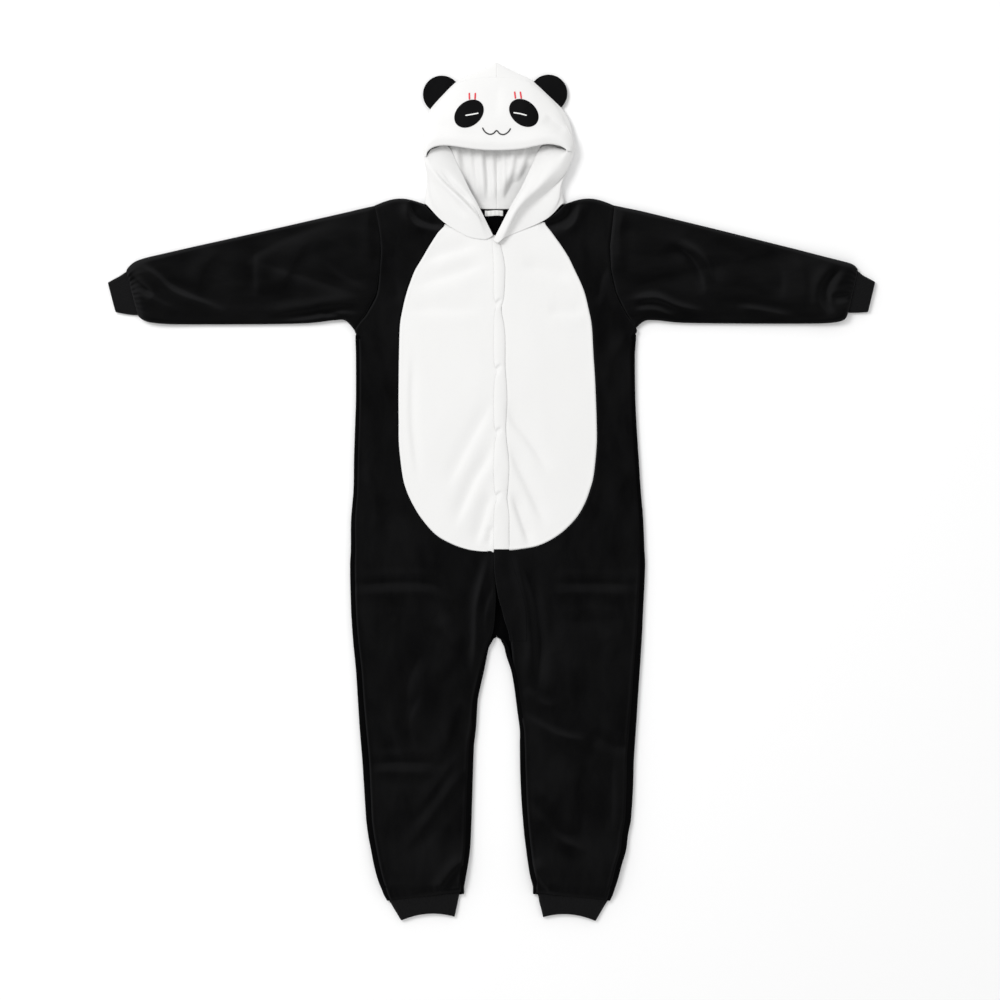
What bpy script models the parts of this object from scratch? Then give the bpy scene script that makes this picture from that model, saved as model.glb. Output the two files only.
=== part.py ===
"""A panda onesie in fleece, laid out flat on its back: hooded, long sleeved, with rib cuffs and a fly front.

Sizes are in millimetres and are turned into metres when a mesh is made. X runs across the garment, Y from the
ankles up to the hood, Z up from the surface that it lies on. Most pieces are worked out for the +X half, with x
measured from the garment's centre line, and are mirrored for the other half.
"""

import math

import bmesh
import bpy
import numpy as np
from mathutils import Vector
from mathutils.bvhtree import BVHTree

MM = 0.001

# Driving dimensions
WALL = 2.0  # fleece, nap included
SEAM = 0.3  # gap between two pieces that are sewn together
LOFT = 13.0  # height of the laid body, surface to the top of the front layer
CROWN = 2.5  # how much higher the front layer stands in its middle
HALF_CHEST = 287.0
SHOULDER_ARCH = 13.0  # how far the shoulder seam bows up between armhole and neck
NECK_DEPTH = 62.0  # from the back neck down to the bottom of the V
BACK_NECK_Y = 580.0
NECK_CORNER = (146.0, 590.0)  # where the shoulder meets the hood
FLY_LEFT, FLY_RIGHT = -3.0, 20.0  # edges of the fly band, from the centre line
FLY_TOP_Y, FLY_WAIST_Y, FLY_END_Y = 519.0, -117.0, -236.0
SNAP_PITCH = 129.0  # between the hidden fasteners of the fly
LEFT_REACH = 1.03  # the sleeve on the -X side lies stretched out this much longer

ARMHOLE = (  # the armhole seam, from the shoulder to the underarm: x, y
    (244.0, 580.0),
    (239.0, 535.0),
    (238.0, 475.0),
    (245.0, 420.0),
    (264.0, 377.0),
    (284.0, 345.0),
)
SHOULDER_POINT = (244.0, 587.0)
UNDERARM = (291.0, 335.0)

BODY_ROWS = (  # each section across one half, from the underarm down to the ankle
    # side_x, side_y, side_wrap, front_x, front_y, inseam_wrap
    # side_wrap and inseam_wrap: how far the back panel comes round onto the front before the seam
    (291.0, 334.0, 7.0, 198.0, 330.0, 0.0),
    (286.0, 281.0, 7.0, 202.0, 262.0, 0.0),
    (287.0, 200.0, 7.0, 203.5, 190.0, 0.0),
    (290.0, 115.0, 7.0, 204.0, 115.0, 0.0),
    (293.0, 50.0, 7.0, 201.0, 58.0, 0.0),
    (296.0, 0.0, 7.0, 188.0, 2.0, 0.0),
    (298.0, -48.0, 7.5, 158.0, -56.0, 0.0),
    (300.0, -92.0, 8.0, 112.0, -98.0, 0.0),
    (301.0, -130.0, 8.5, 60.0, -117.0, 0.0),
    (301.0, -165.0, 9.0, 0.2, -119.0, 0.0),
    (300.0, -200.0, 9.0, 0.2, -170.0, 0.0),
    (299.0, -245.0, 9.0, 0.2, -226.0, 0.0),
    (297.0, -285.0, 9.5, 9.0, -268.0, 7.0),
    (294.0, -325.0, 10.0, 16.0, -318.0, 7.0),
    (291.0, -365.0, 10.5, 28.0, -365.0, 7.0),
    (287.0, -426.0, 11.0, 39.0, -426.0, 8.0),
    (283.0, -488.0, 12.5, 45.0, -488.0, 10.0),
    (279.0, -549.0, 13.0, 47.0, -549.0, 12.0),
    (275.5, -620.0, 12.0, 49.5, -620.0, 12.0),
    (270.0, -685.0, 11.0, 53.0, -685.0, 11.0),
    (260.0, -737.0, 10.5, 58.0, -735.0, 10.5),
    (248.0, -785.0, 10.0, 65.0, -778.0, 10.0),
    (236.0, -820.0, 8.5, 72.0, -808.0, 8.5),
    (229.0, -838.0, 6.0, 75.0, -824.0, 6.0),
)
CROTCH_ROW = 13  # the first row of BODY_ROWS that is a separate leg all round
NECK_ROWS = (  # the inner edge of the front above the underarm: down the neck seam, then down the belly seam
    # front_x, front_y, one for each point of ARMHOLE
    (144.0, 584.0),
    (104.0, 553.0),
    (132.0, 510.0),
    (165.0, 451.0),
    (187.0, 394.0),
    (195.5, 356.0),
)
BELLY_ROWS = 14  # this many rows of the front, counted from the foot of the neck seam, run along the belly

SLEEVE_ROWS = (  # sections of the sleeve beyond the armhole
    # top_x, top_y, under_x, under_y, height
    (292.0, 577.0, 318.0, 348.0, 17.0),
    (362.0, 562.0, 370.0, 345.0, 14.0),
    (450.0, 544.0, 450.0, 345.0, 13.0),
    (540.0, 525.0, 540.0, 345.0, 13.0),
    (622.0, 508.0, 620.0, 345.0, 14.0),
    (682.0, 493.0, 676.0, 347.0, 18.0),
    (722.0, 478.0, 706.0, 353.0, 22.0),
    (740.0, 464.0, 720.0, 361.0, 18.0),
    (742.0, 452.0, 722.0, 367.0, 11.0),
)
WRIST_ROWS = (  # top_x, top_y, under_x, under_y, height
    (742.4, 451.6, 722.4, 367.4, 10.6),
    (761.0, 441.0, 743.0, 368.0, 10.0),
    (779.0, 432.0, 763.0, 369.0, 10.0),
)
ANKLE_ROWS = (  # outer_x, outer_y, inner_x, inner_y, height
    (226.0, -838.4, 77.0, -824.4, 10.6),
    (212.0, -858.0, 84.0, -848.0, 10.0),
    (201.0, -879.0, 90.0, -871.0, 10.0),
)
ANKLE_BOW = (0.0, 4.0, 9.0)  # how far the middle of each of those sections bows up the leg

HOOD_RIBS = (  # half of the hood's back and side: lines from the neck seam up to the seam with the face panel
    # share round the hood, then three coordinates at the neck, low down, high up and at the top
    (0.00, (0.2, 580.4, 0.0), (0.2, 690.0, 0.0), (0.2, 874.0, 1.0), (0.2, 854.0, 14.0)),
    (0.14, (40.0, 581.2, 0.0), (42.0, 690.0, 0.0), (38.0, 852.0, 0.0), (37.0, 851.0, 13.5)),
    (0.28, (88.0, 584.0, 0.0), (90.0, 680.0, 0.0), (84.0, 790.0, 0.0), (74.0, 842.0, 13.5)),
    (0.42, (130.0, 588.4, 0.0), (128.0, 660.0, 0.0), (134.0, 735.0, 0.0), (112.0, 811.0, 14.0)),
    (0.52, (148.0, 592.0, 7.0), (143.0, 650.0, 10.0), (160.0, 702.0, 11.0), (134.0, 783.0, 15.0)),
    (0.62, (134.0, 582.0, 16.0), (136.0, 632.0, 25.0), (160.0, 690.0, 24.0), (149.0, 750.0, 18.0)),
    (0.76, (92.0, 549.0, 18.0), (108.0, 604.0, 27.0), (147.0, 678.0, 30.0), (158.0, 712.0, 21.0)),
    (0.90, (38.0, 528.0, 19.0), (70.0, 596.0, 33.0), (122.0, 688.0, 31.0), (156.0, 699.0, 23.0)),
    (1.00, (3.0, 521.0, 20.0), (47.0, 604.0, 28.0), (92.0, 704.0, 27.0), (149.0, 704.0, 25.0)),
)
FACE_RIM = (  # the edge of the hood's opening over one half of the forehead: share round the hood, x, y, z
    (0.00, 0.0, 707.0, 46.0),
    (0.14, 39.0, 709.0, 45.5),
    (0.28, 73.0, 714.0, 44.5),
    (0.42, 96.0, 718.0, 43.0),
    (0.54, 117.0, 718.5, 41.0),
    (0.65, 134.0, 714.0, 38.0),
    (0.75, 147.0, 706.0, 33.0),
)
HOOD_COLUMNS = 16
FACE_COLUMNS = 12  # this many of the hood's columns, from its middle, are sewn to the face panel
RIM_ROLL = 4.2  # radius of the turned edge of the hood's opening

EAR_RADIUS = 38.5
EAR_CENTRE = (111.0, 816.0)
EAR_FULLNESS = 9.0
EAR_SEAM = ((133.0, 785.0), (73.0, 841.5))
EYE_CENTRE = (56.0, 776.5)
EYE_HALF = (31.5, 25.7)  # half length and half width of an eye patch
EYE_TILT = 36.0  # degrees, its outer end lower
PATCH_WALL = 1.2
THREAD = 0.8  # how far the embroidery stands up
EYE_LINE = ((38.0, 778.5), (50.0, 776.5), (63.0, 772.0))
LASHES = ((39.0, 818.0, 41.0), (51.0, 818.0, 52.5))  # x at the tip, y at the tip, x at the foot
LASH_WIDTH = 2.6
MOUTH = (
    (-24.0, 747.0),
    (-19.0, 738.0),
    (-10.0, 732.5),
    (-3.0, 736.0),
    (0.0, 741.0),
    (3.0, 736.0),
    (10.0, 732.0),
    (19.0, 736.0),
    (25.0, 745.0),
)
LINE_WIDTH = 2.4
LABEL = (36.0, 12.0, 0.6)

COLOURS = {
    "black_fleece": (0.012, 0.012, 0.013),
    "white_fleece": (0.86, 0.86, 0.84),
    "black_rib": (0.022, 0.022, 0.023),
    "patch_black": (0.016, 0.016, 0.017),
    "white_thread": (0.85, 0.85, 0.84),
    "black_thread": (0.016, 0.016, 0.017),
    "red_thread": (0.72, 0.05, 0.06),
    "label_satin": (0.80, 0.80, 0.78),
}


def clear_scene():
    for obj in list(bpy.data.objects):
        bpy.data.objects.remove(obj, do_unlink=True)


def material(name):
    found = bpy.data.materials.get(name)
    if found:
        return found
    made = bpy.data.materials.new(name)
    made.use_nodes = True
    shader = made.node_tree.nodes["Principled BSDF"]
    shader.inputs["Base Color"].default_value = (*COLOURS[name], 1.0)
    shader.inputs["Roughness"].default_value = 0.45 if name == "label_satin" else 0.95
    shader.inputs["Metallic"].default_value = 0.0
    return made


def smooth(x, low, high):
    """0 below low, 1 above high and an S-curve between."""
    t = np.clip((np.asarray(x, float) - low) / (high - low), 0.0, 1.0)
    return t * t * (3.0 - 2.0 * t)


def through(points, knots, at):
    """Points on the smooth curve (Catmull-Rom) through points, which stand at knots."""
    points, knots, at = (np.asarray(v, float) for v in (points, knots, at))
    slope = np.gradient(points, knots, axis=0)
    i = np.clip(np.searchsorted(knots, at, side="right") - 1, 0, len(knots) - 2)
    span = knots[i + 1] - knots[i]
    shape = (-1,) + (1,) * (points.ndim - 1)
    t, span = ((at - knots[i]) / span).reshape(shape), span.reshape(shape)
    return (
        (2 * t**3 - 3 * t**2 + 1) * points[i]
        + (t**3 - 2 * t**2 + t) * span * slope[i]
        + (3 * t**2 - 2 * t**3) * points[i + 1]
        + (t**3 - t**2) * span * slope[i + 1]
    )


def unit(vectors):
    return vectors / np.linalg.norm(vectors, axis=-1, keepdims=True)


def normals_of(grid):
    """Outward normals of a grid whose first axis crossed with its second points in, so they are turned round."""
    return unit(np.cross(np.gradient(grid, axis=1), np.gradient(grid, axis=0)))


def inset(line, distance):
    """A plan polyline moved sideways, to the right of its direction, by distance."""
    line = np.asarray(line, float)
    run = unit(np.gradient(line[:, :2], axis=0))
    moved = line.copy()
    moved[:, 0] += run[:, 1] * distance
    moved[:, 1] -= run[:, 0] * distance
    return moved


def lean(y):
    """How far the centre line has drifted to +X at this height: more below the waist than at the shoulders."""
    y = np.asarray(y, float)
    return 5.5 + 2.0 * smooth(-y, -560.0, -300.0) + 4.0 * smooth(-y, -150.0, 180.0)


def hood_lean(y):
    y = np.asarray(y, float)
    return 5.5 + 7.0 * smooth(y, 600.0, 690.0) * (1.0 - smooth(y, 720.0, 830.0))


def laid(grid, side, centre=lean):
    """A grid worked out for the +X half, put on its side of the centre line."""
    grid = np.array(grid, float)
    grid[..., 0] = side * grid[..., 0] + centre(grid[..., 1])
    return grid


def shell(name, outer, inner, finish, collection, ring=False):
    """One closed wall between two grids of points, joined round their edges. ring: the rows are closed loops."""
    rows, columns = outer.shape[:2]
    across = columns if ring else columns - 1
    points = np.concatenate([outer.reshape(-1, 3), inner.reshape(-1, 3)]) * MM
    skin = rows * columns

    def at(row, column):
        return row * columns + column % columns

    faces = []
    for row in range(rows - 1):
        for column in range(across):
            quad = [at(row, column), at(row, column + 1), at(row + 1, column + 1), at(row + 1, column)]
            faces.append(quad)
            faces.append([v + skin for v in reversed(quad)])
    edges = [(at(r, c), at(r, c + 1)) for r in (0, rows - 1) for c in range(across)]
    if not ring:
        edges += [(at(r, c), at(r + 1, c)) for c in (0, columns - 1) for r in range(rows - 1)]
    faces += [[a, b, b + skin, a + skin] for a, b in edges]

    mesh = bpy.data.meshes.new(name)
    mesh.from_pydata(points.tolist(), [], faces)
    work = bmesh.new()
    work.from_mesh(mesh)
    bmesh.ops.triangulate(work, faces=work.faces[:])
    bmesh.ops.recalc_face_normals(work, faces=work.faces[:])
    work.to_mesh(mesh)
    work.free()
    mesh.materials.append(material(finish))
    obj = bpy.data.objects.new(name, mesh)
    collection.objects.link(obj)
    return obj


def loft_height(y):
    """Height of the laid body at y: the legs puff above the ankle cuffs and close down to them."""
    y = np.asarray(y, float)
    puff = 5.0 * smooth(-y, 700.0, 790.0) * (1.0 - smooth(-y, 800.0, 836.0))
    return LOFT + puff - 2.0 * smooth(-y, 815.0, 838.0)


CROTCH_FOLDS = (  # ridges that run down from the foot of the fly into the legs: start, end, height, half width
    ((14.0, -128.0), (34.0, -330.0), 7.0, 15.0),
    ((34.0, -330.0), (52.0, -470.0), 5.0, 18.0),
)


def ridge(x, y, start, end, height, half_width):
    """A soft ridge along a straight line in plan, fading at both ends."""
    ax, ay = start
    bx, by = end
    length = math.hypot(bx - ax, by - ay)
    along = ((x - ax) * (bx - ax) + (y - ay) * (by - ay)) / length
    off = ((x - ax) * (by - ay) - (y - ay) * (bx - ax)) / length
    ends = smooth(along, -0.15 * length, 0.2 * length) * (1.0 - smooth(along, 0.8 * length, 1.15 * length))
    return height * ends * np.exp(-((off / half_width) ** 2))


def top_height(x, y):
    """Height of the front layer's outer face over one half, in plan."""
    x, y = np.asarray(x, float), np.asarray(y, float)
    middle = np.clip(1.0 - (x / (HALF_CHEST - 10.0)) ** 2, 0.0, 1.0)
    torso = smooth(y, -330.0, -200.0) * (1.0 - smooth(y, 480.0, 600.0))
    leg = np.clip(1.0 - ((x - 163.0) / 105.0) ** 2, 0.0, 1.0) * (1.0 - torso) * smooth(-y, 200.0, 330.0)
    z = loft_height(y) + CROWN * (middle * torso + leg * smooth(y, -830.0, -740.0))
    for start, end, height, half_width in CROTCH_FOLDS:
        z = z + ridge(x, y, start, end, height, half_width)
    return z


def front_grid():
    """The black front panel of one half: shoulder roll, armhole rows, then the rows down to the ankle."""
    columns = 8
    share = np.linspace(0.0, 1.0, columns)
    outer, inner = [], []
    for row, (point, edge) in enumerate(zip(ARMHOLE, NECK_ROWS)):
        outer.append((point[0] - SEAM / 2, point[1]))
        inner.append((edge[0], edge[1]))
    for side_x, side_y, side_wrap, front_x, front_y, inseam_wrap in BODY_ROWS:
        outer.append((side_x - side_wrap - SEAM, side_y))
        inner.append((front_x + inseam_wrap, front_y))
    outer, inner = np.array(outer), np.array(inner)
    belly = slice(1, 1 + BELLY_ROWS + 1)
    inner[belly] = inset(inner[belly], -SEAM / 2)
    plan = outer[:, None, :] + (inner - outer)[:, None, :] * share[None, :, None]
    grid = np.dstack([plan, top_height(plan[..., 0], plan[..., 1])])
    # The seam edges lie level with the back panel's.
    grid[len(ARMHOLE):, 0, 2] = loft_height(grid[len(ARMHOLE):, 0, 1])
    legs = len(ARMHOLE) + CROTCH_ROW
    grid[legs:, -1, 2] = loft_height(grid[legs:, -1, 1])
    normal = normals_of(grid)
    normal[normal[..., 2] < 0] *= -1.0
    return shoulder_roll(grid, normal, share, 1.0)


def shoulder_roll(grid, normal, share, up):
    """Adds the rows that carry the panel over its shoulder edge to half height. up is 1 for the front, -1 for the back."""
    radius = LOFT / 2
    first = grid[0]
    x = first[:, 0]
    start = np.array(SHOULDER_POINT)
    corner = np.array(NECK_CORNER)
    t = np.clip((start[0] - x) / (start[0] - corner[0]), 0.0, 1.0)
    edge_y = start[1] + (corner[1] - start[1]) * t + SHOULDER_ARCH * np.sin(math.pi * t)
    rolled = np.where(x >= corner[0] - 3.0, 1.0, 0.0)
    grid, normal = grid.copy(), normal.copy()
    grid[0, :, 1] = np.where(rolled > 0, edge_y - radius, first[:, 1])
    rows, facing = [], []
    for angle in (0.0, math.pi / 4):
        row, face = grid[0].copy(), normal[0].copy()
        row[:, 1] = np.where(rolled > 0, edge_y - radius * (1 - math.cos(angle)), first[:, 1] + 0.5 + radius)
        height = radius * math.sin(angle) + (SEAM / 2 if angle == 0.0 else 0.0)
        row[:, 2] = np.where(rolled > 0, radius + up * height, first[:, 2])
        face[:] = np.where(
            rolled[:, None] > 0, (0.0, math.cos(angle), up * math.sin(angle)), (0.0, 0.0, up)
        )
        rows.append(row)
        facing.append(face)
    return np.concatenate([rows, grid]), np.concatenate([facing, normal])


def back_grid():
    """The black back panel of one half. It lies flat and comes round the side, and the inseam, onto the front."""
    floor_share = np.array([0.2, 0.41, 0.6, 0.8])
    step = 6.0
    table = [(x - SEAM / 2, y, 0.0, 0.2, y, 0.0) for x, y in ARMHOLE]
    table += [row[:3] + (row[3] if i >= CROTCH_ROW - 1 else 0.2, row[4]) + (row[5],) for i, row in enumerate(BODY_ROWS)]
    grid, normal = [], []
    for side_x, side_y, side_wrap, gap_x, gap_y, inseam_wrap in table:
        height = float(loft_height(side_y))
        radius = height / 2
        flat_in = inseam_wrap == 0.0
        inner_y = side_y if flat_in else gap_y
        points, facing = [], []
        for k, angle in enumerate((90, 45, 0, -45, -90)):
            turn = math.radians(angle)
            if side_wrap == 0.0:
                points.append((side_x - step * k, 0.0))
                facing.append((0.0, -1.0))
            elif angle == 90:
                points.append((side_x - side_wrap, height))
                facing.append((0.0, 1.0))
            else:
                points.append((side_x - radius + radius * math.cos(turn), radius + radius * math.sin(turn)))
                facing.append((math.cos(turn), math.sin(turn)))
        inner_points, inner_facing = [], []
        for k, angle in enumerate((-90, -45, 0, 45, 90)):
            turn = math.radians(angle)
            if flat_in:
                inner_points.append((gap_x + step * (4 - k), 0.0))
                inner_facing.append((0.0, -1.0))
            elif angle == 90:
                inner_points.append((gap_x + inseam_wrap - SEAM, height))
                inner_facing.append((0.0, 1.0))
            else:
                inner_points.append((gap_x + radius - radius * math.cos(turn), radius + radius * math.sin(turn)))
                inner_facing.append((-math.cos(turn), math.sin(turn)))
        start, end = points[-1][0], inner_points[0][0]
        middle = [(start + (end - start) * f, 0.0) for f in floor_share]
        line = points + middle + inner_points
        faces = facing + [(0.0, -1.0)] * len(middle) + inner_facing
        xs = np.array([p[0] for p in line])
        ys = side_y + (inner_y - side_y) * np.clip((side_x - xs) / (side_x - gap_x), 0.0, 1.0)
        grid.append([(p[0], y, p[1]) for p, y in zip(line, ys)])
        normal.append([(f[0], 0.0, f[1]) for f in faces])
    grid, normal = np.array(grid), np.array(normal)
    # The back neck: the first row dips from the shoulder to the hood's seam.
    neck = grid[0, :, 0] < NECK_CORNER[0] - 3.0
    grid[0, neck, 1] = BACK_NECK_Y - LOFT / 2 - 0.5 + 8.0 * (grid[0, neck, 0] / NECK_CORNER[0]) ** 2
    return shoulder_roll(grid, normal, floor_share, -1.0)


def add_body(collection):
    front, front_normal = front_grid()
    back, back_normal = back_grid()
    for side, word in ((1.0, "r"), (-1.0, "l")):
        shell(f"front_{word}", laid(front, side), laid(front - WALL * front_normal, side), "black_fleece", collection)
        shell(f"back_{word}", laid(back, side), laid(back - WALL * back_normal, side), "black_fleece", collection)


def belly_seam():
    """The seam round the belly on one half, from the neck down to the foot, in plan."""
    line = [edge for edge in NECK_ROWS[1:]] + [(row[3], row[4]) for row in BODY_ROWS]
    return np.array(line[:BELLY_ROWS])


def add_belly(collection):
    """The white belly: two panels, the one on the -X side running on under the fly band."""
    columns = 7
    seam = inset(belly_seam(), SEAM / 2)
    levels = len(seam)
    share = np.linspace(0.0, 1.0, columns)
    for side, word, edge in ((1.0, "r", FLY_RIGHT + SEAM), (-1.0, "l", -(FLY_LEFT + 15.0))):
        centre_y = np.linspace(FLY_TOP_Y + 1.0, FLY_WAIST_Y + 0.5, levels)
        centre = np.column_stack([np.full(levels, edge), centre_y])
        plan = seam[:, None, :] + (centre - seam)[:, None, :] * share[None, :, None]
        grid = np.dstack([plan, top_height(np.abs(plan[..., 0]), plan[..., 1])])
        normal = normals_of(grid)
        normal[normal[..., 2] < 0] *= -1.0
        shell(f"belly_{word}", laid(grid, side), laid(grid - WALL * normal, side), "white_fleece", collection)


def add_fly(collection):
    """The fly band, white over the belly and black below it. Its free edge bows out between the fasteners."""
    lift = WALL + 0.9
    for name, finish, top, foot, rows in (
        ("fly_band_white", "white_fleece", FLY_TOP_Y, FLY_WAIST_Y, 26),
        ("fly_band_black", "black_fleece", FLY_WAIST_Y - SEAM, FLY_END_Y, 8),
    ):
        y = np.linspace(top, foot, rows)
        bow = np.abs(np.sin(math.pi * (FLY_TOP_Y - y) / SNAP_PITCH))
        taper = smooth(-y, 170.0, 236.0)
        left = FLY_LEFT - 1.5 * bow + 12.0 * taper
        right = FLY_RIGHT + 1.5 * bow + 2.0 * taper
        share = np.array([0.0, 0.3, 0.7, 1.0])
        x = left[:, None] + (right - left)[:, None] * share[None, :]
        crown = np.array([0.0, 1.2, 1.2, 0.0])[None, :] * (0.35 + 0.65 * bow[:, None])
        grid = np.dstack([x, np.repeat(y[:, None], 4, axis=1), top_height(np.abs(x), y[:, None]) + lift + crown])
        down = np.zeros_like(grid)
        down[..., 2] = WALL + 0.3
        shell(name, laid(grid, 1.0), laid(grid - down, 1.0), finish, collection)


def flat_ring(start, end, height, shares, bow=0.0, bow_line=None):
    """One flattened section: along the top from start to end, round, and back along the bottom. Returns points, normals."""
    start, end = np.array(start, float), np.array(end, float)
    length = np.linalg.norm(end - start)
    way = (end - start) / length
    across = np.array([-way[1], way[0]])
    radius = height / 2
    tangent = np.concatenate([way, [0.0]])
    places = [(0.0, 0.0), (0.0, 45.0)] + [(s, 90.0) for s in shares] + [(1.0, 45.0), (1.0, 0.0)]
    places += [(1.0, -45.0)] + [(s, -90.0) for s in shares[::-1]] + [(0.0, -45.0)]
    points, facing = [], []
    for s, angle in places:
        turn = math.radians(angle)
        if abs(angle) == 90.0:
            along, out = radius + s * (length - 2 * radius), 0.0
        else:
            out = -1.0 if s == 0.0 else 1.0
            along = radius if s == 0.0 else length - radius
            along += out * radius * math.cos(turn)
        f = along / length
        shift = across * (bow * 4.0 * f * (1.0 - f))
        if bow_line is not None:
            shift = np.array([np.interp(f, bow_line[0], bow_line[1]), 0.0])
        plan = start + way * along + shift
        points.append((plan[0], plan[1], radius + radius * math.sin(turn)))
        facing.append(tangent * out * math.cos(turn) + np.array([0.0, 0.0, math.sin(turn)]))
    return np.array(points), np.array(facing)


def armhole_ring(shares):
    """The sleeve's end at the armhole: a flattened ring that bows in along the armhole seam."""
    line = np.array((SHOULDER_POINT,) + ARMHOLE + (UNDERARM,))
    start, end = line[0], line[-1]
    chord = end - start
    f = (line - start) @ chord / (chord @ chord)
    bow = line[:, 0] - (start[0] + chord[0] * f)
    return flat_ring(start + (SEAM, 0.0), end + (SEAM, 0.0), LOFT, shares, bow_line=(f, bow))


def armhole_shares():
    """Where the armhole's points stand along the flat of its ring."""
    line = np.array(ARMHOLE)
    start, end = np.array(SHOULDER_POINT), np.array(UNDERARM)
    length = np.linalg.norm(end - start)
    along = (line - start) @ (end - start) / length
    return np.clip((along - LOFT / 2) / (length - LOFT), 0.0, 1.0)


def add_tube(name, rings, finish, side, collection, reach=1.0):
    outer = np.array([points for points, facing in rings])
    facing = np.array([facing for points, facing in rings])
    inner = outer - WALL * facing
    for skin in (outer, inner):
        far = np.maximum(skin[..., 0] - SHOULDER_POINT[0], 0.0)
        skin[..., 0] += far * (reach - 1.0)
    shell(name, laid(outer, side), laid(inner, side), finish, collection, ring=True)


def add_sleeves(collection):
    shares = armhole_shares()
    rings = [armhole_ring(shares)]
    rings += [flat_ring((tx, ty), (ux, uy), h, shares) for tx, ty, ux, uy, h in SLEEVE_ROWS]
    cuff_shares = np.linspace(0.0, 1.0, 4)
    cuffs = [flat_ring((tx, ty), (ux, uy), h, cuff_shares) for tx, ty, ux, uy, h in WRIST_ROWS]
    for side, word, reach in ((1.0, "r", 1.0), (-1.0, "l", LEFT_REACH)):
        add_tube(f"sleeve_{word}", rings, "black_fleece", side, collection, reach)
        add_tube(f"wrist_cuff_{word}", cuffs, "black_rib", side, collection, reach)


def add_ankle_cuffs(collection):
    shares = np.linspace(0.0, 1.0, 5)
    rings = [
        flat_ring((ox, oy), (ix, iy), h, shares, bow=-bow)
        for (ox, oy, ix, iy, h), bow in zip(ANKLE_ROWS, ANKLE_BOW)
    ]
    for side, word in ((1.0, "r"), (-1.0, "l")):
        add_tube(f"ankle_cuff_{word}", rings, "black_rib", side, collection)


def hood_grid():
    """The back and side of one half of the hood: ribs from the neck seam to the face panel's seam."""
    shares = [row[0] for row in HOOD_RIBS]
    ribs = np.array([row[1:] for row in HOOD_RIBS])
    round_it = np.linspace(0.0, 1.0, HOOD_COLUMNS + 1)
    up = np.array([0.0, 0.12, 0.25, 0.38, 0.5, 0.6, 0.7, 0.8, 0.9, 1.0])
    lines = through(ribs, shares, round_it)
    grid = np.array([through(line, np.array([0.0, 0.33, 0.72, 1.0]), up) for line in lines])
    grid[..., 2] = np.maximum(grid[..., 2], 0.0)
    return grid


def hood_normals(grid, face):
    """The hood's normals. Along the seam they are shared with the face panel, and at the centre seam they lie in it."""
    normal = normals_of(grid)
    middle = (face.shape[1] - 1) // 2
    facing = normals_of(face)[0, middle:]
    shared = unit(normal[: FACE_COLUMNS + 1, -1] + facing * np.sign(facing[:, 2:]))
    normal[: FACE_COLUMNS + 1, -1] = shared
    normal[0, :, 0] = 0.0
    return unit(normal)


def add_hood(grid, normal, collection):
    for side, word in ((1.0, "r"), (-1.0, "l")):
        shell(
            f"hood_{word}",
            laid(grid, side, hood_lean),
            laid(grid - WALL * normal, side, hood_lean),
            "white_fleece",
            collection,
        )


def face_grid(hood):
    """The face panel from its seam to the rolled rim, all across."""
    rim_table = np.array(FACE_RIM)
    shares = np.linspace(0.0, 1.0, HOOD_COLUMNS + 1)[: FACE_COLUMNS + 1]
    rim = through(rim_table[:, 1:], rim_table[:, 0], shares)
    seam = hood[: FACE_COLUMNS + 1, -1].copy()
    seam, rim = (np.concatenate([half[:0:-1] * (-1.0, 1.0, 1.0), half]) for half in (seam, rim))
    rows = []
    for share in np.linspace(0.0, 1.0, 6):
        rise = math.sin(share * math.pi / 2) ** 0.85
        line = seam + (rim - seam) * share
        line[:, 2] = seam[:, 2] + (rim[:, 2] - seam[:, 2]) * rise
        rows.append(line)
    inward = unit(rim - seam) * (1.0, 1.0, 0.0)
    for angle in (60.0, 120.0, 180.0):
        turn = math.radians(angle)
        line = rim + inward * RIM_ROLL * math.sin(turn)
        line[:, 2] -= RIM_ROLL * (1.0 - math.cos(turn))
        rows.append(line)
    return np.array(rows)


def add_face(grid, hood_normal, collection):
    normal = normals_of(grid)
    middle = (grid.shape[1] - 1) // 2
    if normal[2, middle, 2] < 0:
        normal = -normal
    seam = hood_normal[: FACE_COLUMNS + 1, -1]
    normal[0] = np.concatenate([seam[:0:-1] * (-1.0, 1.0, 1.0), seam])
    # The edge stands off the hood's, square to the normals that the two share.
    apart = unit(np.cross(np.gradient(grid[0], axis=0), normal[0]))
    apart *= np.sign(np.sum(apart * (grid[1] - grid[0]), axis=1, keepdims=True))
    grid = grid.copy()
    grid[0] += apart * 2.0 * SEAM
    shell("hood_face", laid(grid, 1.0, hood_lean), laid(grid - WALL * normal, 1.0, hood_lean), "white_fleece", collection)


def surface_of(grid):
    """A tree that can be asked for the height of a grid's surface."""
    rows, columns = grid.shape[:2]
    quads = [
        (r * columns + c, r * columns + c + 1, (r + 1) * columns + c + 1, (r + 1) * columns + c)
        for r in range(rows - 1)
        for c in range(columns - 1)
    ]
    return BVHTree.FromPolygons([Vector(p) for p in grid.reshape(-1, 3)], quads)


def disc(segments):
    """A square grid drawn out into a unit disc."""
    line = np.linspace(-1.0, 1.0, segments + 1)
    a, b = np.meshgrid(line, line, indexing="ij")
    return np.dstack([a * np.sqrt(1.0 - b * b / 2.0), b * np.sqrt(1.0 - a * a / 2.0)])


def height_on(face, x, y):
    """Heights of the face panel's outer surface at x, y."""
    z = np.empty_like(x)
    for index in np.ndindex(x.shape):
        z[index] = face.ray_cast(Vector((x[index], y[index], 200.0)), Vector((0.0, 0.0, -1.0)))[0].z
    return z


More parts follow.
